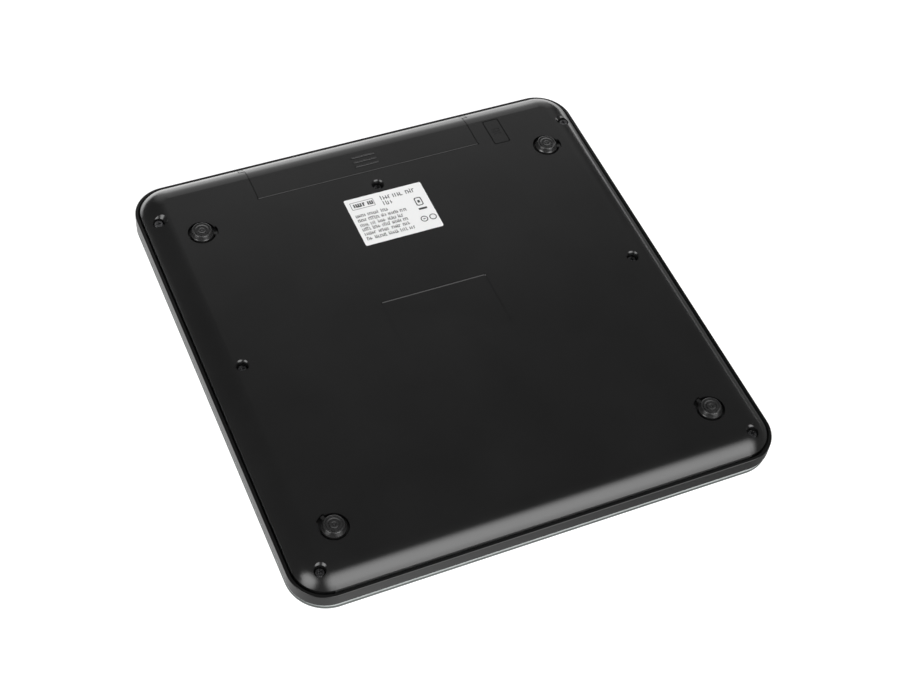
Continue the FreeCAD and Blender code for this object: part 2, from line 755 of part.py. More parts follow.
def lcd_display():
    """Display cell: two glass sheets as one plate."""
    return block(0, DISPLAY_Y, LCD, LCD_Z, LCD_Z + LCD_T)


def lcd_frame():
    """Frame that carries the display, its light guide and the two contact strips."""
    outer = rounded(block(0, DISPLAY_Y, FRAME, BOARD_TOP, PLATE_Z), FRAME_CORNER)
    play = 2 * FRAME_SEAT_PLAY
    seat = block(0, DISPLAY_Y, (LCD[0] + play, LCD[1] + play), LCD_Z, HEIGHT)
    margin = 2 * WELL_MARGIN
    well = block(0, DISPLAY_Y, (ZEBRA_L + margin, LCD[1] - margin), 0, HEIGHT)
    return outer.cut([seat, well])


def lcd_backlight():
    """Light guide behind the display."""
    guide = block(0, DISPLAY_Y, GUIDE_SIZE, LCD_Z - GUIDE_T, LCD_Z)
    return rounded(guide, GUIDE_CORNER)


def lcd_gasket():
    """Foam ring between the display and the glass."""
    inner = (LCD[0] - 2 * GASKET_W, LCD[1] - 2 * GASKET_W)
    return frame_ring(0, DISPLAY_Y, LCD, inner, LCD_Z + LCD_T, GLASS_Z)


def zebra_strips():
    """Two rubber contact strips between the board and the display."""
    offset = LCD[1] / 2 - ZEBRA_INSET
    strips = []
    for dy in (-offset, offset):
        strips.append(block(0, DISPLAY_Y + dy, (ZEBRA_L, ZEBRA_W), BOARD_TOP, LCD_Z))
    return Part.Compound(strips)


def touch_springs():
    """Springs that carry the touch keys' signal from the board to the glass."""
    height = GLASS_Z - BOARD_TOP - 2 * TOUCH_WIRE_R
    pitch = height / (TOUCH_RINGS - 1)
    springs = []
    for x in (-TOUCH_X, TOUCH_X):
        base = V(x, DISPLAY_Y, BOARD_TOP + TOUCH_WIRE_R)
        springs.append(coil(base, Z_AXIS, [TOUCH_R] * TOUCH_RINGS, pitch, TOUCH_WIRE_R, X_AXIS))
    return Part.Compound(springs)


def unit_button():
    """Flush button with an inner lip and a stem that meets the switch."""
    cap = rounded(block(BUTTON_X, BUTTON_Y, BUTTON_SIZE, FOOT_PROUD, FLANGE_Z + SINK), BUTTON_CORNER)
    lip = block(BUTTON_X, BUTTON_Y, button_opening(BUTTON_LIP), FLANGE_Z, FLANGE_Z + BUTTON_LIP_T)
    stem = disc(BUTTON_X, BUTTON_Y, BUTTON_STEM_R, FLANGE_Z, BUTTON_TOP)
    depth = FOOT_PROUD + BUTTON_GROOVE_DEPTH
    grooves = [block(BUTTON_X, BUTTON_Y + dy, BUTTON_GROOVE, 0, depth) for dy in BUTTON_GROOVE_YS]
    return fused([cap, lip, stem]).cut(grooves)


def button_switch():
    """Push switch on the button board."""
    body = block(BUTTON_X, BUTTON_Y, (SWITCH_SIZE, SWITCH_SIZE), SWITCH_Z, BUTTON_BOARD_Z)
    top = BUTTON_TOP + PLUNGER_H + FOOT_TRAVEL + PLUNGER_PLAY
    return body.cut(disc(BUTTON_X, BUTTON_Y, PLUNGER_R + PLUNGER_PLAY, 0, top))


def switch_plunger():
    """The switch's own push pin."""
    return disc(BUTTON_X, BUTTON_Y, PLUNGER_R, BUTTON_TOP, BUTTON_TOP + PLUNGER_H)


def button_board():
    """Small board that carries the switch."""
    top = BUTTON_BOARD_Z + BUTTON_BOARD_T
    board = block(BUTTON_X, BUTTON_Y, BUTTON_BOARD, BUTTON_BOARD_Z, top)
    holes = [disc(x, y, BOARD_HOLE_R, 0, HEIGHT) for x, y in button_screw_spots()]
    return rounded(board, BUTTON_BOARD_CORNER).cut(holes)


def button_lead():
    """Wires from the button board to the main board."""
    board_y = DISPLAY_Y + BOARD[1] / 2
    x = BUTTON_X + BUTTON_BOARD[0] / 2 - BUTTON_LEAD_INSET
    y = BUTTON_Y - BUTTON_BOARD[1] / 2
    z = BUTTON_BOARD_Z + BUTTON_BOARD_T / 2
    high_y, low_y = BUTTON_LEAD_Y
    points = [V(x, y, z), V(x, high_y, z), V(BUTTON_LEAD_X, low_y, z), V(BUTTON_LEAD_X, board_y, z)]
    return tube(points, BUTTON_LEAD_R, LEAD_BEND)


# ---------------------------------------------------------------- assembly
def corner_nodes():
    """The parts that repeat at the four corners."""
    nodes = {}
    for name, (cx, cy, start) in CORNERS.items():
        nodes["foot_" + name] = foot(cx, cy, start)
        nodes["foot_pad_" + name] = foot_pad(cx, cy)
        nodes["load_cell_" + name] = load_cell(cx, cy)
        nodes["strain_gauge_" + name] = strain_gauge(cx, cy)
        nodes["load_cell_carrier_" + name] = load_cell_carrier(cx, cy)
        nodes["load_cell_cable_" + name] = load_cell_cable(cx, cy)
    return nodes


def all_nodes():
    """Every sub-part of the scale by name."""
    cells_start = BAY_HALF - CONTACT_T - 2 * AAA_L
    nodes = {
        "bottom_shell": bottom_shell(),
        "top_housing": top_housing(),
        "glass_platform": glass_platform(),
        "platform_adhesive": platform_adhesive(),
        "battery_door": battery_door(),
        "rating_label": rating_label(),
        "shell_screws": shell_screws(),
        "battery_1": aaa_cell(cells_start + AAA_L),
        "battery_2": aaa_cell(cells_start),
        "battery_plate_contact": contact_plate(BAY_HALF - CONTACT_T / 2),
        "battery_spring_contact": battery_spring_contact(),
        "battery_lead_positive": battery_lead(1),
        "battery_lead_negative": battery_lead(-1),
        "main_board": main_board(),
        "controller_chip": controller_chip(),
        "board_screws": small_screws(board_screw_spots(), BOARD_Z),
        "lcd_display": lcd_display(),
        "lcd_frame": lcd_frame(),
        "lcd_backlight": lcd_backlight(),
        "lcd_gasket": lcd_gasket(),
        "zebra_strips": zebra_strips(),
        "touch_springs": touch_springs(),
        "unit_button": unit_button(),
        "button_switch": button_switch(),
        "switch_plunger": switch_plunger(),
        "button_board": button_board(),
        "button_board_screws": small_screws(button_screw_spots(), BUTTON_BOARD_Z),
        "button_lead": button_lead(),
    }
    nodes.update(corner_nodes())
    return nodes


def main():
    """Writes one STEP file per node."""
    os.makedirs("parts", exist_ok=True)
    for name, shape in all_nodes().items():
        shape.exportStep("parts/" + name + ".step")
        print(name, "solids", len(shape.Solids), "volume", round(shape.Volume, 1), "valid", shape.isValid())


main()
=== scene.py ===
import math
import random

import bmesh
import bpy
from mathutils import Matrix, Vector


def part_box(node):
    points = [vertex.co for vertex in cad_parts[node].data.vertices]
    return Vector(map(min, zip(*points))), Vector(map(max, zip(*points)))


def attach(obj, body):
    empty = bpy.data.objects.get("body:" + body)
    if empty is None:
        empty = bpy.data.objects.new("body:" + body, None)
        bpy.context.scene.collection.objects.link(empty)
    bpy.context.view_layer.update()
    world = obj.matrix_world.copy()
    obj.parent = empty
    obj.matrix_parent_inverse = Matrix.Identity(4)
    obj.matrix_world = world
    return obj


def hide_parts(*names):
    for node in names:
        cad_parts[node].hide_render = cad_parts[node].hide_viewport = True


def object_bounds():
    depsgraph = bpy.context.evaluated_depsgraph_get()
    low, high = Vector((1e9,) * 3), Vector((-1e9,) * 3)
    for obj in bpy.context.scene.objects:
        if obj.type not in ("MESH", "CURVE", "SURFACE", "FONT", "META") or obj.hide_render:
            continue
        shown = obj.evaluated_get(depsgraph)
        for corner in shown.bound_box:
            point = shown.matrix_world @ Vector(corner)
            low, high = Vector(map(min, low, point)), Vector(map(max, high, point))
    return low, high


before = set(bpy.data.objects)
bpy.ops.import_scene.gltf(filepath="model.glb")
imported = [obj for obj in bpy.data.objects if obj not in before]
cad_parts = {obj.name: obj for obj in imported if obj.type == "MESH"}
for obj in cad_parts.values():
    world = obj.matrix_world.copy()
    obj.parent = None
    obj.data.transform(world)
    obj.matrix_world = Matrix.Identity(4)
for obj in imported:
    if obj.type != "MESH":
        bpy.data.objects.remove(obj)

# Underside view of a glass-topped kitchen scale that lies upside down on its glass.
# The part itself stands upright: +Z goes up through the glass, so the camera looks up from below.

CAD_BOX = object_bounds()
MM = 0.001


def corners(node):
    """Lowest and highest corner of a CAD node, and its middle."""
    low, high = (Vector(p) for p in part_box(node))
    return low, high, (low + high) / 2


LOW, HIGH = Vector(CAD_BOX[0]), Vector(CAD_BOX[1])
GLASS_LOW, GLASS_HIGH, GLASS_MID = corners("glass_platform")
DISPLAY_HIGH, DISPLAY_MID = corners("lcd_display")[1:]

# ---------------------------------------------------------------- camera
CAMERA_PLACE = Vector((0.2517, -0.4479, -0.6212))
CAMERA_AIM = Vector((0.0147, -0.0127, 0.0020))
CAMERA_UP = Vector((-0.2610, 0.7421, -0.6174))
CAMERA_LENS = 70.22
CAMERA_SHIFT = 0.0267


def make_camera():
    """Camera at the viewing angle of the upturned scale."""
    data = bpy.data.cameras.new("camera")
    data.lens = CAMERA_LENS
    data.shift_x = CAMERA_SHIFT
    data.clip_start = 0.01
    camera = bpy.data.objects.new("camera", data)
    bpy.context.scene.collection.objects.link(camera)
    forward = (CAMERA_AIM - CAMERA_PLACE).normalized()
    right = forward.cross(CAMERA_UP).normalized()
    up = right.cross(forward)
    turn = camera.matrix_world.copy()
    for row in range(3):
        turn[row][0] = right[row]
        turn[row][1] = up[row]
        turn[row][2] = -forward[row]
        turn[row][3] = CAMERA_PLACE[row]
    camera.matrix_world = turn
    bpy.context.scene.camera = camera


# ---------------------------------------------------------------- material tools
# Scales of the noise patterns, and depths of the relief that they make.
DRIFT_SCALE = 22.0
WEAR_SCALE = 60.0
CLEAR_DRIFT_SCALE = 30.0
CLEAR_SMEAR_SCALE = 45.0
STRIP_WEAR_SCALE = 200.0
GRAIN_DEPTH = 0.1 * MM
SCRATCH_DEPTH = 0.05 * MM
TRACK_DEPTH = 0.03 * MM
RIPPLE_DEPTH = 0.1 * MM


def grey(level):
    """Neutral colour."""
    return (level, level, level)


def new_material(name):
    """Empty node material with its Principled shader."""
    material = bpy.data.materials.new(name)
    material.use_nodes = True
    tree = material.node_tree
    return material, tree, tree.nodes["Principled BSDF"]


def add(tree, kind, **settings):
    """Adds a node and sets its inputs by name."""
    node = tree.nodes.new(kind)
    for key, value in settings.items():
        node.inputs[key.replace("_", " ")].default_value = value
    return node


def place_in(tree, space):
    """Coordinates of the shaded place."""
    return tree.nodes.new("ShaderNodeTexCoord").outputs[space]


def coordinate(tree, space, axis):
    """One coordinate of the shaded place."""
    split = tree.nodes.new("ShaderNodeSeparateXYZ")
    tree.links.new(place_in(tree, space), split.inputs["Vector"])
    return split.outputs[axis]


def stretched(tree, stretch):
    """Object coordinates, stretched along some axes."""
    mapping = add(tree, "ShaderNodeMapping", Scale=stretch)
    tree.links.new(place_in(tree, "Object"), mapping.inputs["Vector"])
    return mapping.outputs["Vector"]


def noise(tree, scale, detail=2.0, roughness=0.5, stretch=(1, 1, 1)):
    """Noise texture in object coordinates."""
    node = add(tree, "ShaderNodeTexNoise", Scale=scale, Detail=detail, Roughness=roughness)
    tree.links.new(stretched(tree, stretch), node.inputs["Vector"])
    return node


def spread(tree, source, low, high):
    """Maps a 0 to 1 value to a range."""
    node = add(tree, "ShaderNodeMapRange", To_Min=low, To_Max=high)
    tree.links.new(source, node.inputs["Value"])
    return node.outputs["Result"]


def blend_colours(tree, factor, colour_a, colour_b, edge=0.15):
    """Mixes two colours by a factor, over a band as wide as twice the edge."""
    ramp = tree.nodes.new("ShaderNodeValToRGB")
    ramp.color_ramp.elements[0].position = 0.5 - edge
    ramp.color_ramp.elements[1].position = 0.5 + edge
    ramp.color_ramp.elements[0].color = (*colour_a, 1)
    ramp.color_ramp.elements[1].color = (*colour_b, 1)
    tree.links.new(factor, ramp.inputs["Fac"])
    return ramp.outputs["Color"]


def bump(tree, shader, height, strength, distance):
    """Adds a bump to a shader."""
    node = add(tree, "ShaderNodeBump", Strength=strength, Distance=distance)
    tree.links.new(height, node.inputs["Height"])
    tree.links.new(node.outputs["Normal"], shader.inputs["Normal"])


def joined(tree, operation, one, other):
    """Result of a calculation with two values."""
    node = tree.nodes.new("ShaderNodeMath")
    node.operation = operation
    for value, socket in zip((one, other), node.inputs):
        if isinstance(value, float):
            socket.default_value = value
        else:
            tree.links.new(value, socket)
    return node.outputs["Value"]


def within(tree, axis, centre, reach):
    """1 where a coordinate in mm lies within reach of a value, otherwise 0."""
    gap = joined(tree, "SUBTRACT", coordinate(tree, "Object", axis), centre * MM)
    return joined(tree, "LESS_THAN", joined(tree, "ABSOLUTE", gap, 0.0), reach * MM)


def box_mask(tree, centre, half):
    """1 inside an upright box, otherwise 0."""
    across = within(tree, "X", centre[0], half[0])
    return joined(tree, "MULTIPLY", across, within(tree, "Y", centre[1], half[1]))


def rim_mask(tree, centre, half, reach):
    """1 along the outline of a box, otherwise 0."""
    outer, inner = (box_mask(tree, centre, (half[0] + gap, half[1] + gap)) for gap in (reach, -reach))
    return joined(tree, "SUBTRACT", outer, inner)


def distance_to(tree, centre):
    """Distance from an upright axis."""
    flat = tree.nodes.new("ShaderNodeVectorMath")
    flat.operation = "MULTIPLY"
    flat.inputs[1].default_value = (1, 1, 0)
    tree.links.new(place_in(tree, "Object"), flat.inputs[0])
    gap = tree.nodes.new("ShaderNodeVectorMath")
    gap.operation = "DISTANCE"
    gap.inputs[1].default_value = (centre[0] * MM, centre[1] * MM, 0)
    tree.links.new(flat.outputs["Vector"], gap.inputs[0])
    return gap.outputs["Value"]


def disc_mask(tree, centre, reach):
    """1 inside an upright cylinder, otherwise 0."""
    return joined(tree, "LESS_THAN", distance_to(tree, centre), reach * MM)


def gathered(tree, operation, values):
    """Result of a calculation over several values."""
    total = values[0]
    for value in values[1:]:
        total = joined(tree, operation, total, value)
    return total


def duller(material, masks, share):
    """Takes a share of the gloss away where the masks are 1."""
    tree = material.node_tree
    gloss = tree.nodes["Principled BSDF"].inputs["Specular IOR Level"]
    cover = gathered(tree, "MAXIMUM", [mask(tree, *sizes) for mask, *sizes in masks])
    left = spread(tree, cover, 1.0, 1.0 - share)
    source = gloss.links[0].from_socket if gloss.links else gloss.default_value
    tree.links.new(joined(tree, "MULTIPLY", left, source), gloss)


def ring_ripples(material, centres, pitch, strength):
    """Fine concentric ripples around the nearest of several axes."""
    tree = material.node_tree
    gap = gathered(tree, "MINIMUM", [distance_to(tree, centre) for centre in centres])
    wave = joined(tree, "SINE", joined(tree, "MULTIPLY", gap, 2 * math.pi / (pitch * MM)), 0.0)
    grain = tree.nodes["Principled BSDF"].inputs["Normal"].links[0].from_node
    ripple = add(tree, "ShaderNodeBump", Strength=strength, Distance=RIPPLE_DEPTH)
    tree.links.new(wave, ripple.inputs["Height"])
    tree.links.new(ripple.outputs["Normal"], grain.inputs["Normal"])


def paint_light_outside(material, colour, centre, half):
    """Gives the surfaces outside a box a paler colour, as painted light over shade."""
    tree = material.node_tree
    base = tree.nodes["Principled BSDF"].inputs["Base Color"]
    mix = tree.nodes.new("ShaderNodeMix")
    mix.data_type = "RGBA"
    tree.links.new(box_mask(tree, centre, half), mix.inputs["Factor"])
    mix.inputs["A"].default_value = (*colour, 1)
    tree.links.new(base.links[0].from_socket, mix.inputs["B"])
    tree.links.new(mix.outputs["Result"], base)


def plastic(name, colour_a, colour_b, rough, grain_scale, grain, sheen=0.5):
    """Moulded plastic or rubber: faint colour drift, uneven gloss and a fine grain."""
    material, tree, shader = new_material(name)
    drift = noise(tree, DRIFT_SCALE, 3.0)
    tree.links.new(blend_colours(tree, drift.outputs["Fac"], colour_a, colour_b), shader.inputs["Base Color"])
    wear = noise(tree, WEAR_SCALE, 4.0, 0.6)
    tree.links.new(spread(tree, wear.outputs["Fac"], rough[0], rough[1]), shader.inputs["Roughness"])
    shader.inputs["Specular IOR Level"].default_value = sheen
    bump(tree, shader, noise(tree, grain_scale).outputs["Fac"], grain, GRAIN_DEPTH)
    return material


def metal(name, colour_a, colour_b, rough, stretch, scale, scratch):
    """Metal with a drawn or brushed grain along one direction."""
    material, tree, shader = new_material(name)
    grain = noise(tree, scale, 3.0, 0.6, stretch)
    tree.links.new(blend_colours(tree, grain.outputs["Fac"], colour_a, colour_b), shader.inputs["Base Color"])
    tree.links.new(spread(tree, grain.outputs["Fac"], rough[0], rough[1]), shader.inputs["Roughness"])
    shader.inputs["Metallic"].default_value = 1.0
    bump(tree, shader, grain.outputs["Fac"], scratch, SCRATCH_DEPTH)
    return material


def clear(name, tint, rough, ior=1.5, transmission=1.0):
    """Clear or frosted transparent material with an uneven finish."""
    material, tree, shader = new_material(name)
    drift = noise(tree, CLEAR_DRIFT_SCALE)
    paler = tuple(min(1.0, level * 1.02) for level in tint)
    tree.links.new(blend_colours(tree, drift.outputs["Fac"], tint, paler), shader.inputs["Base Color"])
    smear = noise(tree, CLEAR_SMEAR_SCALE, 4.0, 0.6)
    tree.links.new(spread(tree, smear.outputs["Fac"], rough[0], rough[1]), shader.inputs["Roughness"])
    shader.inputs["IOR"].default_value = ior
    shader.inputs["Transmission Weight"].default_value = transmission
    return material


def paint(node, material):
    """Gives a CAD node its material."""
    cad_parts[node].material_slots[0].material = material


# ---------------------------------------------------------------- stage and light
FLOOR_HALF = 12.0
FLOOR_SPECK_SCALE = 3.0
FLOOR_PALER = 1.05
FLOOR_ROUGH = 0.9
FLOOR_GLOSS = 0.1
SEEN_SHADE = 0.25
GLOW_SHADE = 0.1

# Glow of the floors: axis, where a smooth change starts and ends along it in m, and the glow before it and
# after it.
SEEN_GLOW = [("X", -1.0, 1.0, 0.93, 0.93)]
UNDER_FEET_GLOW = [("X", -1.0, 1.0, 0.6, 0.6)]
REFLECTED_GLOW = [
    ("X", -0.14, 0.14, 0.05, 0.58),
    ("Y", 0.10, 0.17, 0.0, 1.8),
    ("X", 0.14, 0.2, 0.0, -0.42),
    ("X", 0.2, 0.4, 0.0, -2.0),
]

SOFTBOX_PLACE = (-0.5, -0.7, 1.5)
SOFTBOX_SIZE = 1.4
SOFTBOX_POWER = 26.0


def level_field(tree, axis, near, far, low, high):
    """Brightness that changes smoothly along X or Y of the floor."""
    field = add(tree, "ShaderNodeMapRange", From_Min=near, From_Max=far, To_Min=low, To_Max=high)
    field.interpolation_type = "SMOOTHSTEP"
    tree.links.new(coordinate(tree, "Object", axis), field.inputs["Value"])
    return field.outputs["Result"]


def one_sided_floor(name, z, facing, shade, fields):
    """Large pale floor that shows only on the side that it faces. Its glow is the sum of the fields."""
    mesh = bpy.data.meshes.new(name)
    h = FLOOR_HALF
    square = [(-h, -h, z), (h, -h, z), (h, h, z), (-h, h, z)]
    order = (0, 1, 2, 3) if facing > 0 else (3, 2, 1, 0)
    mesh.from_pydata(square, [], [order])
    floor = bpy.data.objects.new(name, mesh)
    bpy.context.scene.collection.objects.link(floor)
    material, tree, shader = new_material(name)
    speck = noise(tree, FLOOR_SPECK_SCALE)
    colour = blend_colours(tree, speck.outputs["Fac"], grey(shade), grey(shade * FLOOR_PALER))
    tree.links.new(colour, shader.inputs["Base Color"])
    shader.inputs["Roughness"].default_value = FLOOR_ROUGH
    shader.inputs["Specular IOR Level"].default_value = FLOOR_GLOSS
    shader.inputs["Emission Color"].default_value = (1, 1, 1, 1)
    glow = gathered(tree, "ADD", [level_field(tree, *field) for field in fields])
    tree.links.new(joined(tree, "MAXIMUM", glow, 0.0), shader.inputs["Emission Strength"])
    side = tree.nodes.new("ShaderNodeNewGeometry")
    through = tree.nodes.new("ShaderNodeBsdfTransparent")
    mix = tree.nodes.new("ShaderNodeMixShader")
    tree.links.new(side.outputs["Backfacing"], mix.inputs["Fac"])
    tree.links.new(shader.outputs["BSDF"], mix.inputs[1])
    tree.links.new(through.outputs["BSDF"], mix.inputs[2])
    tree.links.new(mix.outputs["Shader"], tree.nodes["Material Output"].inputs["Surface"])
    mesh.materials.append(material)
    floor.visible_shadow = False
    return floor


def only_seen(floor):
    """The floor is a backdrop for the camera and lights nothing."""
    floor.visible_diffuse = False
    floor.visible_glossy = False
    floor.visible_transmission = False


def top_softbox():
    """Soft light over the glass, aimed at the middle of the part."""
    data = bpy.data.lights.new("top_softbox", "AREA")
    data.shape = "RECTANGLE"
    data.size = data.size_y = SOFTBOX_SIZE
    data.energy = SOFTBOX_POWER
    light = bpy.data.objects.new("top_softbox", data)
    light.location = SOFTBOX_PLACE
    light.rotation_mode = "QUATERNION"
    light.rotation_quaternion = (-Vector(SOFTBOX_PLACE)).to_track_quat("-Z", "Y")
    bpy.context.scene.collection.objects.link(light)


def below(azimuth, elevation):
    """Direction in the room under the part, as the upturned part sees it: azimuth from -X towards +Y."""
    turn, rise = math.radians(azimuth), math.radians(elevation)
    return Vector((-math.cos(turn) * math.cos(rise), math.sin(turn) * math.cos(rise), -math.sin(rise)))


# Soft patches of the room's light: azimuth, elevation, full and outer half angle, brightness.
ROOM_PATCHES = [
    (-70, 36, 4, 36, 5.5),
    (-160, 30, 6, 28, 5.5),
    (72, -4, 2, 26, 2.0),
    (72, 22, 8, 31, 1.0),
]
ROOM_BASE = 0.15
ROOM_ABOVE = 0.75
ROOM_RISE = 0.2


def make_world():
    """Dim room with soft bright patches, and an even light over the glass."""
    world = bpy.data.worlds.new("room")
    bpy.context.scene.world = world
    world.use_nodes = True
    tree = world.node_tree
    background = tree.nodes["Background"]
    even = add(tree, "ShaderNodeMapRange", From_Max=ROOM_RISE, To_Min=ROOM_BASE, To_Max=ROOM_ABOVE)
    tree.links.new(coordinate(tree, "Generated", "Z"), even.inputs["Value"])
    levels = [even.outputs["Result"]]
    for azimuth, elevation, inner, outer, brightness in ROOM_PATCHES:
        towards = tree.nodes.new("ShaderNodeVectorMath")
        towards.operation = "DOT_PRODUCT"
        tree.links.new(place_in(tree, "Generated"), towards.inputs[0])
        towards.inputs[1].default_value = below(azimuth, elevation)
        starts, full = (math.cos(math.radians(angle)) for angle in (outer, inner))
        patch = add(tree, "ShaderNodeMapRange", From_Min=starts, From_Max=full, To_Max=brightness)
        patch.interpolation_type = "SMOOTHSTEP"
        tree.links.new(towards.outputs["Value"], patch.inputs["Value"])
        levels.append(patch.outputs["Result"])
    background.inputs["Color"].default_value = (1, 1, 1, 1)
    tree.links.new(gathered(tree, "ADD", levels), background.inputs["Strength"])


def make_stage():
    """Floors, room and lamp. The scale lies on its glass; seen from above it stands on its feet.

    The camera sees one floor, and the reflections show another with an uneven glow."""
    only_seen(one_sided_floor("table_seen", HIGH.z, -1, SEEN_SHADE, SEEN_GLOW))
    glowing = one_sided_floor("table_glow", HIGH.z, -1, GLOW_SHADE, REFLECTED_GLOW)
    glowing.visible_camera = False
    glowing.visible_diffuse = False
    only_seen(one_sided_floor("table_under_feet", LOW.z, 1, SEEN_SHADE, UNDER_FEET_GLOW))
    make_world()
    top_softbox()
    bpy.context.scene.view_settings.view_transform = "Standard"


# ---------------------------------------------------------------- mesh tools
# Detail pieces reach this far into what they sit on.
SUNK = 0.02 * MM
WIRE_ROUND_STEPS = 4
HELIX_STEPS = 28
HELIX_CLOSED_TURNS = 0.9


def place_mesh(name, mesh, body, materials):
    """Object from a mesh, with its materials, on a body."""
    for material in materials:
        mesh.materials.append(material)
    piece = bpy.data.objects.new(name, mesh)
    bpy.context.scene.collection.objects.link(piece)
    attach(piece, body)
    return piece


def from_bmesh(name, shape, body, materials, smooth_angle=None):
    """Object from a bmesh. Edges sharper than smooth_angle, in degrees, stay crisp."""
    mesh = bpy.data.meshes.new(name)
    bmesh.ops.recalc_face_normals(shape, faces=shape.faces)
    if smooth_angle is not None:
        limit = math.radians(smooth_angle)
        for face in shape.faces:
            face.smooth = True
        for edge in shape.edges:
            edge.smooth = len(edge.link_faces) == 2 and edge.calc_face_angle(0.0) < limit
    shape.to_mesh(mesh)
    shape.free()
    return place_mesh(name, mesh, body, materials)


def loop_row(shape, outline, z):
    """Vertices over a closed outline of (x, y) points."""
    return [shape.verts.new((x, y, z)) for x, y in outline]


def add_band(shape, here, there, slot=0):
    """Adds the faces between two closed rows of vertices."""
    for i in range(len(here)):
        j = (i + 1) % len(here)
        shape.faces.new((here[i], here[j], there[j], there[i])).material_index = slot


def add_prism(shape, outline, z0, z1):
    """Adds an upright prism over a closed outline of (x, y) points."""
    low, high = loop_row(shape, outline, z0), loop_row(shape, outline, z1)
    shape.faces.new(low[::-1])
    shape.faces.new(high)
    add_band(shape, low, high)


def add_ring(shape, inner, outer, z0, z1):
    """Adds an upright ring between two closed outlines with the same number of points."""
    corners_round = ((inner, z0), (outer, z0), (outer, z1), (inner, z1))
    rows = [loop_row(shape, outline, z) for outline, z in corners_round]
    for here, there in zip(rows, rows[1:] + rows[:1]):
        add_band(shape, here, there)


def add_block(shape, low, high, slot, ease):
    """Adds a block between two corners, with eased edges."""
    size = [high[k] - low[k] for k in range(3)]
    middle = [(high[k] + low[k]) / 2 for k in range(3)]
    made = bmesh.ops.create_cube(shape, size=1.0)
    bmesh.ops.scale(shape, vec=size, verts=made["verts"])
    bmesh.ops.translate(shape, vec=middle, verts=made["verts"])
    faces = {face for vert in made["verts"] for face in vert.link_faces}
    for face in faces:
        face.material_index = slot
    edges = list({edge for vert in made["verts"] for edge in vert.link_edges})
    bmesh.ops.bevel(shape, geom=edges, offset=ease, segments=2, affect="EDGES", profile=0.5)


def add_turned(shape, profile, centre, axis, segments, slots=None):
    """Adds a turned form: profile is a list of (radius, height) from one end of the axis to the other."""
    rows = []
    for radius, height in profile:
        if radius <= 0:
            rows.append([shape.verts.new(turned_point(0.0, 0.0, height, centre, axis))])
            continue
        row = []
        for i in range(segments):
            angle = 2 * math.pi * i / segments
            row.append(shape.verts.new(turned_point(radius, angle, height, centre, axis)))
        rows.append(row)
    for k, (here, there) in enumerate(zip(rows, rows[1:])):
        slot = slots[k] if slots else 0
        if len(here) > 1 and len(there) > 1:
            add_band(shape, here, there, slot)
            continue
        for i in range(segments):
            j = (i + 1) % segments
            corner = (here[0], there[j], there[i]) if len(here) == 1 else (here[i], here[j], there[0])
            shape.faces.new(corner).material_index = slot


def turned_point(radius, angle, height, centre, axis):
    """Point of a turned form."""
    a, b = radius * math.cos(angle), radius * math.sin(angle)
    x, y, z = centre
    if axis == "X":
        return (x + height, y + a, z + b)
    return (x + a, y + b, z + height)


def rounded_outline(centre, size, radius, steps=8):
    """Points round a rectangle with rounded corners."""
    points = []
    half_x, half_y = size[0] / 2 - radius, size[1] / 2 - radius
    for sign_x, sign_y, start in ((1, 1, 0), (-1, 1, 90), (-1, -1, 180), (1, -1, 270)):
        for k in range(steps + 1):
            angle = math.radians(start + 90 * k / steps)
            x = centre[0] + sign_x * half_x + radius * math.cos(angle)
            y = centre[1] + sign_y * half_y + radius * math.sin(angle)
            points.append((x, y))
    return points


def round_outline(centre, radius, steps=48):
    """Points round a circle."""
    turns = [2 * math.pi * k / steps for k in range(steps)]
    return [(centre[0] + radius * math.cos(a), centre[1] + radius * math.sin(a)) for a in turns]


def wire(name, points, radius, body, material):
    """Round wire along points, as a mesh."""
    data = bpy.data.curves.new(name, "CURVE")
    data.dimensions = "3D"
    data.bevel_depth = radius
    data.bevel_resolution = WIRE_ROUND_STEPS
    data.use_fill_caps = True
    spline = data.splines.new("POLY")
    spline.points.add(len(points) - 1)
    for target, point in zip(spline.points, points):
        target.co = (*point, 1)
    curve = bpy.data.objects.new(name + "_line", data)
    bpy.context.scene.collection.objects.link(curve)
    mesh = bpy.data.meshes.new_from_object(curve)
    mesh.name = name
    bpy.data.objects.remove(curve)
    mesh.materials.clear()
    for polygon in mesh.polygons:
        polygon.use_smooth = True
    return place_mesh(name, mesh, body, [material])


# ---------------------------------------------------------------- object materials
TRACK_PATTERN = {
    "Scale": 240.0, "Mortar Size": 0.03, "Brick Width": 1.3, "Row Height": 0.34,
    "Color2": (0.01, 0.085, 0.03, 1), "Mortar": (0.03, 0.16, 0.06, 1),
}
MASK_DRIFT_SCALE = 90.0
MASK_GREENS = ((0.008, 0.07, 0.025), (0.012, 0.1, 0.035))
MASK_ROUGHNESS = (0.22, 0.34)


def circuit_board(name):
    """Green solder mask over copper tracks."""
    material, tree, shader = new_material(name)
    tracks = tree.nodes.new("ShaderNodeTexBrick")
    tree.links.new(stretched(tree, (1, 1, 1)), tracks.inputs["Vector"])
    for key, value in TRACK_PATTERN.items():
        tracks.inputs[key].default_value = value
    wander = noise(tree, MASK_DRIFT_SCALE, 3.0)
    tree.links.new(blend_colours(tree, wander.outputs["Fac"], *MASK_GREENS, 0.03), tracks.inputs["Color1"])
    tree.links.new(tracks.outputs["Color"], shader.inputs["Base Color"])
    tree.links.new(spread(tree, wander.outputs["Fac"], *MASK_ROUGHNESS), shader.inputs["Roughness"])
    bump(tree, shader, tracks.outputs["Fac"], 0.25, TRACK_DEPTH)
    return material


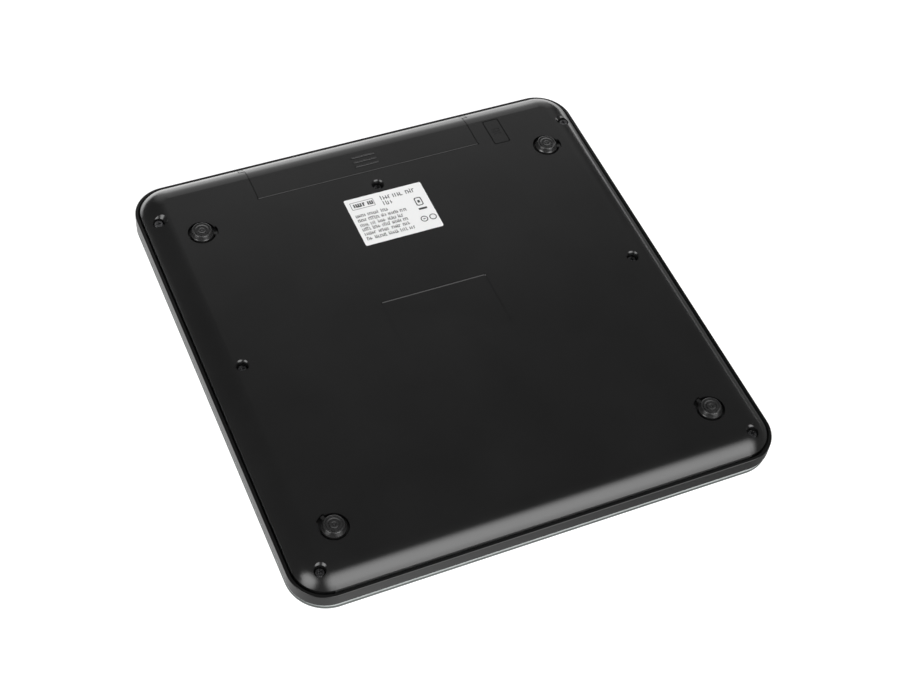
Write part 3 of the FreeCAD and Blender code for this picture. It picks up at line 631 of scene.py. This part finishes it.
def striped(name, colour_a, colour_b, scale, rough):
    """Fine stripes across X, as in a layered contact strip."""
    material, tree, shader = new_material(name)
    layers = add(tree, "ShaderNodeTexWave", Scale=scale)
    tree.links.new(stretched(tree, (1, 0, 0)), layers.inputs["Vector"])
    colour = blend_colours(tree, layers.outputs["Fac"], colour_a, colour_b, 0.1)
    tree.links.new(colour, shader.inputs["Base Color"])
    wear = noise(tree, STRIP_WEAR_SCALE)
    tree.links.new(spread(tree, wear.outputs["Fac"], rough[0], rough[1]), shader.inputs["Roughness"])
    return material


# Plastics, rubber, films, inks and glass edges: name, the two colours that it drifts between, range of
# roughness, scale and strength of the grain, and the gloss where it isn't the usual one.
PLASTICS = {
    "shell": ("shell_black", grey(0.006), grey(0.008), (0.17, 0.22), 2600.0, 0.12),
    "housing": ("housing_black", grey(0.003), grey(0.004), (0.1, 0.15), 2600.0, 0.05),
    "rubber": ("foot_rubber", grey(0.013), grey(0.018), (0.13, 0.2), 1800.0, 0.15, 0.75),
    "stud": ("stud_plastic", grey(0.008), grey(0.01), (0.35, 0.45), 2000.0, 0.1),
    "label": ("label_film", grey(0.78), grey(0.80), (0.4, 0.5), 900.0, 0.05),
    "label_ink": ("label_ink", grey(0.02), grey(0.035), (0.5, 0.6), 3000.0, 0.1),
    "carrier": ("carrier_plastic", grey(0.02), grey(0.026), (0.4, 0.5), 2000.0, 0.1),
    "frame": ("frame_plastic", grey(0.01), grey(0.014), (0.5, 0.6), 2000.0, 0.1),
    "switch": ("switch_plastic", grey(0.012), grey(0.018), (0.35, 0.45), 1500.0, 0.1),
    "plunger": ("plunger_plastic", (0.62, 0.6, 0.55), (0.68, 0.66, 0.6), (0.35, 0.45), 1500.0, 0.1),
    "chip": ("chip_resin", grey(0.004), grey(0.007), (0.12, 0.25), 300.0, 0.3),
    "gauge": ("gauge_sealant", (0.55, 0.55, 0.52), (0.66, 0.66, 0.62), (0.2, 0.32), 250.0, 0.35),
    "foam": ("gasket_foam", grey(0.012), grey(0.024), (0.85, 0.95), 1500.0, 0.8, 0.2),
    "tape": ("bonding_tape", (0.6, 0.6, 0.58), (0.7, 0.7, 0.68), (0.5, 0.65), 900.0, 0.3),
    "red_wire": ("red_wire", (0.45, 0.01, 0.008), (0.52, 0.015, 0.01), (0.3, 0.4), 800.0, 0.08),
    "black_wire": ("black_wire", grey(0.008), grey(0.013), (0.3, 0.4), 800.0, 0.08),
    "grey_wire": ("grey_wire", (0.22, 0.22, 0.23), (0.3, 0.3, 0.31), (0.35, 0.45), 800.0, 0.1),
    "white_ink": ("white_ink", (0.68, 0.7, 0.72), (0.72, 0.74, 0.76), (0.5, 0.6), 2500.0, 0.05),
    "black_print": ("black_print", grey(0.0035), grey(0.005), (0.3, 0.4), 1200.0, 0.05),
    "ceramic": ("ceramic_body", (0.20, 0.12, 0.06), (0.25, 0.16, 0.08), (0.4, 0.5), 1200.0, 0.1),
    "wrap_dark": ("wrap_dark", (0.02, 0.02, 0.022), (0.028, 0.028, 0.03), (0.18, 0.26), 500.0, 0.05),
    "ground": ("ground_edge", (0.30, 0.32, 0.315), (0.33, 0.35, 0.345), (0.32, 0.42), 1800.0, 0.15),
    # The polished band of the glass edge is smoother, and its dark colour is painted shade across the middle
    # of the pencil edge.
    "polished_painted_shade": ("polished_painted_shade_edge", (0.055, 0.062, 0.06), (0.07, 0.078, 0.075), (0.08, 0.14), 400.0, 0.03),
    "display": ("display_glass", (0.30, 0.34, 0.28), (0.33, 0.37, 0.31), (0.12, 0.18), 700.0, 0.02),
    "segments": ("display_segments", (0.24, 0.275, 0.225), (0.25, 0.285, 0.235), (0.14, 0.2), 700.0, 0.02),
}

# Metals: name, two colours, range of roughness, stretch and scale of the grain, and depth of the scratches.
METALS = {
    "wrap_band": ("wrap_band", (0.55, 0.27, 0.12), (0.62, 0.32, 0.15), (0.22, 0.32), (1, 1, 1), 300.0, 0.05),
    "screw": ("screw_black", (0.1, 0.1, 0.104), (0.17, 0.17, 0.174), (0.2, 0.32), (1, 1, 1), 1500.0, 0.2),
    "zinc": ("screw_zinc", (0.55, 0.56, 0.58), (0.66, 0.67, 0.69), (0.25, 0.38), (1, 1, 1), 1500.0, 0.15),
    "steel": ("sensor_steel", (0.42, 0.42, 0.43), (0.52, 0.52, 0.53), (0.28, 0.42), (30, 1, 1), 120.0, 0.2),
    "nickel": ("contact_nickel", (0.60, 0.58, 0.53), (0.68, 0.66, 0.61), (0.16, 0.28), (8, 1, 1), 300.0, 0.1),
    "solder": ("solder_tin", (0.55, 0.55, 0.56), (0.68, 0.68, 0.69), (0.2, 0.4), (1, 1, 1), 900.0, 0.3),
}


def make_materials():
    """Every finish of the scale by name."""
    finishes = {key: plastic(*values) for key, values in PLASTICS.items()}
    finishes.update({key: metal(*values) for key, values in METALS.items()})
    finishes["glass"] = clear("platform_glass", (0.93, 0.97, 0.95), (0.0, 0.02))
    finishes["guide"] = clear("light_guide", (0.86, 0.9, 0.95), (0.35, 0.5), 1.49, 0.6)
    finishes["board"] = circuit_board("circuit_board")
    finishes["zebra"] = striped("contact_strip", grey(0.02), (0.55, 0.22, 0.24), 900.0, (0.5, 0.65))
    return finishes


# Places in mm of the shell screws.
SCREW_PLACES = [
    (-106.8, 94.2), (106.8, 94.2), (0.0, 82.4), (-98.0, 0.0), (98.0, 0.0), (-102.7, -109.4), (102.7, -109.4),
]
RECESS_REACH = 2.7

# Places in mm where the black plastic is less glossy: screw recesses, then the rear edge of the
# sunk panel, the front edge of the battery door, the unit button and the grips of the door.
RECESS_MASKS = [(disc_mask, spot, RECESS_REACH) for spot in SCREW_PLACES]
LINE_MASKS = [
    (box_mask, (0, 13.0), (26.5, 0.35)),
    (box_mask, (0, 92.0), (58.5, 0.5)),
    (rim_mask, (-70.0, 97.0), (4.0, 8.0), 0.3),
]
GRIP_MASKS = [(box_mask, (0, y), (6.6, 0.6)) for y in (96.4, 99.3, 102.4)]
# Shares of the gloss that the masks take away.
DULLER = [(RECESS_MASKS, 0.45), (LINE_MASKS, 0.6), (GRIP_MASKS, 0.35)]

# The walls of the groove round the shell lie outside a box of this half size in mm.
GROOVE_BOX = (112.55, 117.55)
# Paler colour of the groove walls: painted light that lifts the shade deep in the narrow groove.
GROOVE_PAINTED_LIGHT = grey(0.04)

# Pitch in mm and strength of the ripples on the foot pads.
RIPPLE_PITCH = 1.9
RIPPLE_STRENGTH = 0.8


def soften_details(finishes):
    """Less gloss in recesses and along fine edges, groove walls paler as painted light, ripples on the foot
    pads.
    """
    for masks, share in DULLER:
        duller(finishes["shell"], masks, share)
    # The groove walls get a paler colour as painted light in the shade of the groove.
    paint_light_outside(finishes["shell"], GROOVE_PAINTED_LIGHT, (0, 0), GROOVE_BOX)
    pads = [corners("foot_pad_" + place)[2] / MM for place in PLACES]
    ring_ripples(finishes["rubber"], [(pad.x, pad.y) for pad in pads], RIPPLE_PITCH, RIPPLE_STRENGTH)


# CAD nodes that keep their shape, with the finish of each.
KEPT_NODES = {
    "bottom_shell": "shell", "battery_door": "shell", "unit_button": "shell", "top_housing": "housing",
    "rating_label": "label", "platform_adhesive": "tape", "shell_screws": "screw", "board_screws": "zinc",
    "button_board_screws": "zinc", "main_board": "board", "button_board": "board", "controller_chip": "chip",
    "lcd_display": "display", "lcd_frame": "frame", "lcd_backlight": "guide", "lcd_gasket": "foam",
    "zebra_strips": "zebra", "button_switch": "switch", "switch_plunger": "plunger",
    "battery_plate_contact": "nickel", "battery_lead_positive": "red_wire",
    "battery_lead_negative": "black_wire", "button_lead": "grey_wire",
}
CORNER_FINISHES = {
    "foot_pad": "rubber", "foot": "stud", "load_cell_cable": "grey_wire", "load_cell_carrier": "carrier",
    "load_cell": "steel", "strain_gauge": "gauge",
}
PLACES = ("front_left", "front_right", "rear_left", "rear_right")


def dress(finishes):
    """Materials of the CAD nodes that stay."""
    for node, finish in KEPT_NODES.items():
        paint(node, finishes[finish])
    for prefix, finish in CORNER_FINISHES.items():
        for place in PLACES:
            paint(prefix + "_" + place, finishes[finish])


# ---------------------------------------------------------------- glass platform
GLASS_R = 18.0 * MM
EDGE_DEPTH = 1.5 * MM
EDGE_STEPS = 14
# Bands of the pencil edge with the dark polished finish, which is partly painted shade.
EDGE_SHADED_STEPS = (5, 6, 7)
EDGE_SMOOTH_ANGLE = 35
GLASS_CORNER_STEPS = 20
GROUND_SLOT, POLISHED_SHADE_SLOT = 1, 2
PRINT_GAP = 0.012 * MM
PRINT_T = 0.04 * MM
PRINT_CORNER_STEPS = 10
WINDOW = (62 * MM, 30 * MM)
WINDOW_R = 1.0 * MM
TOUCH_X = 39.5 * MM
TARE, POWER = (Vector((side * TOUCH_X, DISPLAY_MID.y)) for side in (-1, 1))
# Rings of the marks: middle, inner and outer radius in mm.
KEY_RINGS = [(TARE, 5.4, 5.8), (POWER, 5.4, 5.8), (POWER, 2.0, 2.5)]
ARROW_R = 1.3 * MM
ARROW_GAP = 1.7 * MM


def glass_plate(finishes):
    """Tempered glass with a ground pencil edge, and a dark polished band across it that is partly painted
    shade.
    """
    size = (GLASS_HIGH - GLASS_LOW).xy
    half = (GLASS_HIGH.z - GLASS_LOW.z) / 2
    shape = bmesh.new()
    rows = []
    for step in range(EDGE_STEPS + 1):
        angle = math.pi * (step / EDGE_STEPS - 0.5)
        inset = EDGE_DEPTH * (1 - math.cos(angle))
        shrunk = (size.x - 2 * inset, size.y - 2 * inset)
        outline = rounded_outline(GLASS_MID.xy, shrunk, GLASS_R - inset, GLASS_CORNER_STEPS)
        rows.append(loop_row(shape, outline, GLASS_MID.z + half * math.sin(angle)))
    shape.faces.new(rows[0][::-1])
    shape.faces.new(rows[-1])
    for step, (here, there) in enumerate(zip(rows, rows[1:])):
        add_band(shape, here, there, POLISHED_SHADE_SLOT if step in EDGE_SHADED_STEPS else GROUND_SLOT)
    materials = [finishes["glass"], finishes["ground"], finishes["polished_painted_shade"]]
    piece = from_bmesh("glass_plate", shape, "housing", materials, EDGE_SMOOTH_ANGLE)
    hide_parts("glass_platform")


def back_print(finishes):
    """Black print on the back of the glass, with a clear display window."""
    size = (GLASS_HIGH - GLASS_LOW).xy
    printed = (size.x - 2 * EDGE_DEPTH, size.y - 2 * EDGE_DEPTH)
    z0 = GLASS_LOW.z + PRINT_GAP
    outer = rounded_outline(GLASS_MID.xy, printed, GLASS_R - EDGE_DEPTH, PRINT_CORNER_STEPS)
    inner = rounded_outline(DISPLAY_MID.xy, WINDOW, WINDOW_R, PRINT_CORNER_STEPS)
    shape = bmesh.new()
    add_ring(shape, inner, outer, z0, z0 + PRINT_T)
    piece = from_bmesh("back_print", shape, "housing", [finishes["black_print"]])


def window_outline(wider, radius):
    """Outline of the display window, made wider."""
    return rounded_outline(DISPLAY_MID.xy, (WINDOW[0] + wider * MM, WINDOW[1] + wider * MM), radius * MM)


def glass_marks(finishes):
    """White marks over the black print: a frame round the window, and a power and a tare key."""
    marks = bmesh.new()
    low = GLASS_LOW.z + PRINT_GAP + PRINT_T + PRINT_GAP
    high = low + PRINT_T
    add_ring(marks, window_outline(2.4, 1.8), window_outline(3.2, 2.2), low, high)
    for spot, inner, outer in KEY_RINGS:
        add_ring(marks, round_outline(spot, inner * MM), round_outline(spot, outer * MM), low, high)
    bar = rounded_outline((POWER.x, POWER.y + 2.2 * MM), (0.6 * MM, 2.4 * MM), 0.25 * MM)
    add_prism(marks, bar, high + PRINT_GAP, high + PRINT_GAP + PRINT_T)
    for turn in (90, 270):
        y = TARE.y + ARROW_GAP * math.sin(math.radians(turn))
        angles = [math.radians(turn + 180 + 120 * k) for k in range(3)]
        arrow = [(TARE.x + ARROW_R * math.cos(angle), y + ARROW_R * math.sin(angle)) for angle in angles]
        add_prism(marks, arrow, low, high)
    piece = from_bmesh("glass_marks", marks, "housing", [finishes["white_ink"]])


# ---------------------------------------------------------------- rating label print
LABEL_INK_T = 0.02 * MM
LABEL_SEED = 17

# Lines of print on the label in mm: both ends, place down the label, height of the strokes and their width.
LABEL_LINES = [(3.4, 13.6, 4.85, 2.3, 0.75), (17.7, 37.6, 4.1, 2.4, 0.42), (17.8, 25.6, 7.6, 2.2, 0.42)]
# Small lines: place down the label, and end.
SMALL_LINES = [(11.5, 18.4), (14.5, 27.0), (17.5, 23.6), (20.3, 27.5), (23.2, 25.7), (26.3, 25.9)]
SMALL_START, SMALL_HEIGHT, SMALL_STROKE = 2.0, 1.75, 0.36
LETTER_EASE = 0.05
# Plain bars: both ends, top and bottom.
LABEL_BARS = [(33.9, 35.1, 10.9, 12.5), (32.6, 36.9, 15.9, 17.1), (32.2, 33.4, 22.7, 23.3)]
# Outlines of rounded rectangles: middle, size, line, radius inside and outside, and steps in a corner.
LABEL_BOXES = [
    ((8.05, 4.85), (11.9, 4.7), 0.25, 0.2, 0.3, 2),
    ((34.5, 11.7), (3.7, 5.4), 0.5, 0.7, 1.0, 8),
]
LABEL_CIRCLES = [(32.8, 23.0), (37.3, 23.0)]
CIRCLE_IN, CIRCLE_OUT = 1.35 * MM, 1.85 * MM


def label_print(finishes):
    """Generic print on the rating label: a boxed row, lines of meaningless strokes and plain marks."""
    low, high, _ = corners("rating_label")
    random.seed(LABEL_SEED)
    shape = bmesh.new()
    z1 = low.z + LABEL_INK_T / 4
    z0 = z1 - LABEL_INK_T

    def spot(across, down):
        """Place on the label, read from its top left corner, in mm."""
        return high.x - across * MM, high.y - down * MM

    def mark(x0, x1, y0, y1, ease=0.15):
        """Printed bar."""
        a, b = spot(x0, y0), spot(x1, y1)
        centre = ((a[0] + b[0]) / 2, (a[1] + b[1]) / 2)
        size = (abs(a[0] - b[0]), abs(a[1] - b[1]))
        radius = min(ease * MM, min(size) * 0.45)
        add_prism(shape, rounded_outline(centre, size, radius, 2), z0, z1)

    def words(x0, x1, y, height, stroke):
        """Row of words, each a group of upright strokes joined by a thin bar."""
        x = x0
        while x < x1 - height:
            length = min(random.uniform(2.2, 6.0) * height * 0.6, x1 - x)
            letter = x
            while letter < x + length - stroke:
                tall = random.random() < 0.3
                top = y - height * (0.72 if tall else 0.5)
                mark(letter, letter + stroke, top, y + height * 0.5, LETTER_EASE)
                if random.random() < 0.75:
                    level = random.choice((top, y, y + height * 0.5 - stroke))
                    end = min(letter + height * 0.55, x + length)
                    mark(letter, end, level, level + stroke, LETTER_EASE)
                letter += height * random.uniform(0.42, 0.62)
            x += length + height * 0.6

    for line in LABEL_LINES:
        words(*line)
    for y, end in SMALL_LINES:
        words(SMALL_START, end + 0.6, y, SMALL_HEIGHT, SMALL_STROKE)
    for bar in LABEL_BARS:
        mark(*bar)
    for place, size, line, inner_radius, outer_radius, steps in LABEL_BOXES:
        centre = spot(*place)
        inner = rounded_outline(centre, [(side - 2 * line) * MM for side in size], inner_radius * MM, steps)
        outer = rounded_outline(centre, [side * MM for side in size], outer_radius * MM, steps)
        add_ring(shape, inner, outer, z0, z1)
    for place in LABEL_CIRCLES:
        centre = spot(*place)
        add_ring(shape, round_outline(centre, CIRCLE_IN, 24), round_outline(centre, CIRCLE_OUT, 24), z0, z1)
    piece = from_bmesh("label_print", shape, "housing", [finishes["label_ink"]])


# ---------------------------------------------------------------- display
SEGMENT_T = 0.03 * MM
DIGIT_SIZE = (6.6 * MM, 13.0 * MM)
DIGIT_BAR = 1.4 * MM
DIGIT_PITCH = 10.0 * MM


def display_cells(finishes):
    """Resting seven-bar cells and small flags of the display, faintly darker than its field."""
    shape = bmesh.new()
    z0 = DISPLAY_HIGH.z - SEGMENT_T / 3
    z1 = z0 + SEGMENT_T
    width, height = DIGIT_SIZE
    bar = DIGIT_BAR
    for k in range(5):
        x = DISPLAY_MID.x + (k - 2) * DIGIT_PITCH - 1.5 * MM
        y = DISPLAY_MID.y - 0.8 * MM
        for level in (-1, 0, 1):
            centre = (x, y + level * (height - bar) / 2)
            add_prism(shape, rounded_outline(centre, (width - 1.7 * bar, bar * 0.9), bar * 0.4, 2), z0, z1)
        for side in (-1, 1):
            for level in (-1, 1):
                centre = (x + side * (width - bar) / 2, y + level * height / 4)
                add_prism(shape, rounded_outline(centre, (bar * 0.9, height / 2 - bar), bar * 0.4, 2), z0, z1)
        point = (x + width / 2 + 1.5 * MM, y - height / 2 + 0.6 * MM)
        add_prism(shape, round_outline(point, 0.7 * MM, 16), z0, z1)
    for k in range(4):
        centre = (DISPLAY_MID.x + 26.3 * MM, DISPLAY_MID.y + (k - 1.5) * 5.2 * MM)
        add_prism(shape, rounded_outline(centre, (3.6 * MM, 1.8 * MM), 0.4 * MM, 3), z0, z1)
    minus = (DISPLAY_MID.x - 27.4 * MM, DISPLAY_MID.y - 0.8 * MM)
    add_prism(shape, rounded_outline(minus, (3.0 * MM, 1.2 * MM), 0.4 * MM, 3), z0, z1)
    piece = from_bmesh("display_cells", shape, "housing", [finishes["segments"]])


# ---------------------------------------------------------------- power
CELL_NUB = 0.8 * MM
CELL_RIM = 0.25 * MM
CELL_SINK = 0.3 * MM
CELL_SEGMENTS = 56
TURNED_SMOOTH_ANGLE = 40
SLEEVE_SLOT, BAND_SLOT, METAL_SLOT = 0, 1, 2


def cell_profile(radius, length):
    """Turned profile of a cell from its flat end: (radius, height), and the slot of the band that follows."""
    can = length - CELL_NUB
    return [
        (0, 0.35 * MM, METAL_SLOT), (radius * 0.72, 0.35 * MM, METAL_SLOT), (radius * 0.78, 0.0, METAL_SLOT),
        (radius - CELL_RIM * 2, 0.0, METAL_SLOT), (radius - CELL_RIM, CELL_RIM, METAL_SLOT),
        (radius - CELL_RIM * 0.4, 0.5 * MM, SLEEVE_SLOT), (radius, 0.9 * MM, SLEEVE_SLOT),
        (radius, can * 0.70, BAND_SLOT), (radius, can * 0.705, BAND_SLOT),
        (radius, can - 1.2 * MM, BAND_SLOT), (radius - CELL_RIM * 0.4, can - 0.6 * MM, METAL_SLOT),
        (radius - CELL_RIM, can - CELL_RIM, METAL_SLOT),
        (radius - CELL_RIM * 2, can, METAL_SLOT), (radius * 0.52, can, SLEEVE_SLOT),
        (radius * 0.48, can - CELL_SINK, METAL_SLOT), (radius * 0.365, can - CELL_SINK, METAL_SLOT),
        (radius * 0.362, length - 0.25 * MM, METAL_SLOT), (radius * 0.32, length, METAL_SLOT),
        (0, length, METAL_SLOT),
    ]


def battery(node, finishes):
    """AAA cell: dark sleeve with a copper band, crimped metal ends, positive nub towards +X."""
    low, high, middle = corners(node)
    profile = cell_profile((high.z - low.z) / 2, high.x - low.x)
    points = [(radius, height) for radius, height, _ in profile]
    shape = bmesh.new()
    slots = [slot for *_, slot in profile]
    add_turned(shape, points, (low.x, middle.y, middle.z), "X", CELL_SEGMENTS, slots)
    materials = [finishes["wrap_dark"], finishes["wrap_band"], finishes["nickel"]]
    piece = from_bmesh(node + "_cell", shape, "housing", materials, TURNED_SMOOTH_ANGLE)
    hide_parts(node)


# Cone spring of the negative contact, and its plate with a solder tab.
CONE_WIRE_R = 0.35 * MM
CONE_WIDE_R, CONE_SMALL_R = 3.9 * MM, 1.9 * MM
CONE_TURNS = 5.2
SPRING_PLATE_T = 0.4 * MM
SPRING_PLATE_HALF = 4.5 * MM
SPRING_TAB_Z = (8.0 * MM, 11.0 * MM)
SPRING_TAB_OVERLAP = 0.3 * MM
SPRING_PLATE_EASE = 0.1 * MM
# Ring pressed into the plate: inner and outer radius, height, and steps round it.
PRESSED_RING = (3.0 * MM, 3.4 * MM, 0.25 * MM, 40)

TOUCH_WIRE_R = 0.25 * MM
TOUCH_SPRING_R = 2.75 * MM
TOUCH_TURNS = 7.5


def helix(start, radius_a, radius_b, length, turns, axis):
    """Points along a coil with closed end turns."""
    points = []
    total = int(turns * HELIX_STEPS)
    closed = HELIX_CLOSED_TURNS / turns
    for k in range(total + 1):
        part = k / total
        turned = 2 * math.pi * turns * part
        rise = min(1.0, max(0.0, (part - closed / 2) / (1 - closed)))
        radius = radius_a + (radius_b - radius_a) * rise
        points.append(turned_point(radius, turned, length * rise, start, axis))
    return points


def battery_spring(finishes):
    """Negative contact: cone spring of round wire on a stamped plate with a solder tab."""
    low = corners("battery_spring_contact")[0]
    cell_low, _, cell_middle = corners("battery_2")
    cell_y, cell_z = cell_middle.yz
    front = low.x + SPRING_PLATE_T
    start = (front + CONE_WIRE_R * 0.8, cell_y, cell_z)
    length = cell_low.x - front - CONE_WIRE_R * 1.7
    coil = helix(start, CONE_WIDE_R, CONE_SMALL_R, length, CONE_TURNS, "X")
    spring = wire("battery_spring", coil, CONE_WIRE_R, "housing", finishes["nickel"])
    shape = bmesh.new()
    half, ease = SPRING_PLATE_HALF, SPRING_PLATE_EASE
    tab_low, tab_high = SPRING_TAB_Z
    tab_end = cell_y - half + SPRING_TAB_OVERLAP
    add_block(shape, (low.x, cell_y - half, cell_z - half), (front, cell_y + half, cell_z + half), 0, ease)
    add_block(shape, (low.x, low.y, tab_low), (front, tab_end, tab_high), 0, ease)
    inner, outer, rise, steps = PRESSED_RING
    ring = [(inner, 0.0), (inner, rise), (outer, rise), (outer, 0.0), (inner, 0.0)]
    add_turned(shape, ring, (front - SUNK, cell_y, cell_z), "X", steps)
    plate = from_bmesh("battery_spring_plate", shape, "housing", [finishes["nickel"]], 30)
    plate.parent = spring
    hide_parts("battery_spring_contact")


def touch_springs(finishes):
    """Two coil springs that carry the touch keys from the board to the back of the glass."""
    low, high, _ = corners("touch_springs")
    coil_r = TOUCH_SPRING_R - TOUCH_WIRE_R
    length = high.z - low.z - 2 * TOUCH_WIRE_R
    for name, spot in (("touch_spring_1", TARE), ("touch_spring_2", POWER)):
        coil = helix((spot.x, spot.y, low.z + TOUCH_WIRE_R), coil_r, coil_r, length, TOUCH_TURNS, "Z")
        spring = wire(name, coil, TOUCH_WIRE_R, "housing", finishes["nickel"])
        if spot is TARE:
            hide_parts("touch_springs")


# ---------------------------------------------------------------- boards
# Sizes of the small parts in mm: length and width, then height.
SMALL_CHIP = ((1.6, 0.8), 0.45)
FLAT_CHIP = ((2.0, 1.25), 0.7)
TALL_CHIP = ((2.0, 1.25), 0.8)
CHIP_CAP_SHARE = 0.22
CHIP_CAP_PROUD = 0.03 * MM
CHIP_EASE = 0.05 * MM
CHIP_CAP_EASE = 0.04 * MM
BODY_SLOT, CAP_SLOT = 0, 1
# Turned profile of a solder joint: radius and height in mm.
SOLDER_JOINT = [(0, -0.7), (0.35, -0.65), (0.8, -0.3), (1.1, 0.0), (0, 0.05)]
CRYSTAL_SIZE = (8.0 * MM, 3.2 * MM)
CRYSTAL_HEIGHT = 2.6 * MM
TEST_PADS = 12
TEST_PAD_PITCH = 1.9
TEST_PAD_R = 0.65 * MM
TEST_PAD_T = 0.08 * MM


def chip_part(shape, x, y, z, size, turned):
    """Small two-ended component below a board, with tinned ends. A turned one lies along Y."""
    (length, width), height = size
    half = [length * MM / 2, width * MM / 2]
    cap = length * MM * CHIP_CAP_SHARE
    along, across = (1, 0) if turned else (0, 1)
    if turned:
        half.reverse()
    bottom, top = z - height * MM, z + SUNK
    body = ((x - half[0], y - half[1], bottom), (x + half[0], y + half[1], top))
    add_block(shape, *body, BODY_SLOT, CHIP_EASE)
    for side in (-1, 1):
        low, high = [x, y, bottom - CHIP_CAP_PROUD], [x, y, top]
        low[along] += side * half[along] - (cap if side > 0 else 0)
        high[along] += side * half[along] + (0 if side > 0 else cap)
        low[across] -= half[across] + CHIP_CAP_PROUD
        high[across] += half[across] + CHIP_CAP_PROUD
        add_block(shape, low, high, CAP_SLOT, CHIP_CAP_EASE)


def board_chips(finishes):
    """Resistors and capacitors under the main board."""
    low, _, middle = corners("main_board")
    shape = bmesh.new()
    for k in range(9):
        x = (1.0 + k * 3.4) * MM
        chip_part(shape, x, middle.y + 9.0 * MM, low.z, SMALL_CHIP, True)
        chip_part(shape, x, middle.y + 5.4 * MM, low.z, SMALL_CHIP, k % 3 == 0)
    for k in range(5):
        chip_part(shape, (-32.0 + k * 2.6) * MM, middle.y - 12.0 * MM, low.z, FLAT_CHIP, True)
        chip_part(shape, (4.0 + k * 4.6) * MM, middle.y - 7.5 * MM, low.z, TALL_CHIP, False)
    piece = from_bmesh("board_chips", shape, "housing", [finishes["ceramic"], finishes["solder"]])


def board_metal(finishes):
    """A crystal, a row of test pads and solder joints under the main board."""
    low, _, middle = corners("main_board")
    z = low.z
    shape = bmesh.new()
    crystal = rounded_outline((middle.x + 2.0 * MM, middle.y - 1.5 * MM), CRYSTAL_SIZE, 1.5 * MM)
    add_prism(shape, crystal, z - CRYSTAL_HEIGHT, z + SUNK)
    for k in range(TEST_PADS):
        centre = (middle.x + (-33.0 + k * TEST_PAD_PITCH) * MM, middle.y + 13.0 * MM)
        add_prism(shape, round_outline(centre, TEST_PAD_R, 18), z - TEST_PAD_T, z + SUNK)
    for spot in (TARE, POWER):
        joint = [(radius * MM, height * MM) for radius, height in SOLDER_JOINT]
        add_turned(shape, joint, (spot.x, spot.y + 2.5 * MM, z), "Z", 24)
    piece = from_bmesh("board_metal", shape, "housing", [finishes["solder"]], TURNED_SMOOTH_ANGLE)


make_camera()
make_stage()
FINISHES = make_materials()
soften_details(FINISHES)
dress(FINISHES)
glass_plate(FINISHES)
back_print(FINISHES)
glass_marks(FINISHES)
label_print(FINISHES)
display_cells(FINISHES)
battery("battery_1", FINISHES)
battery("battery_2", FINISHES)
battery_spring(FINISHES)
touch_springs(FINISHES)
board_chips(FINISHES)
board_metal(FINISHES)
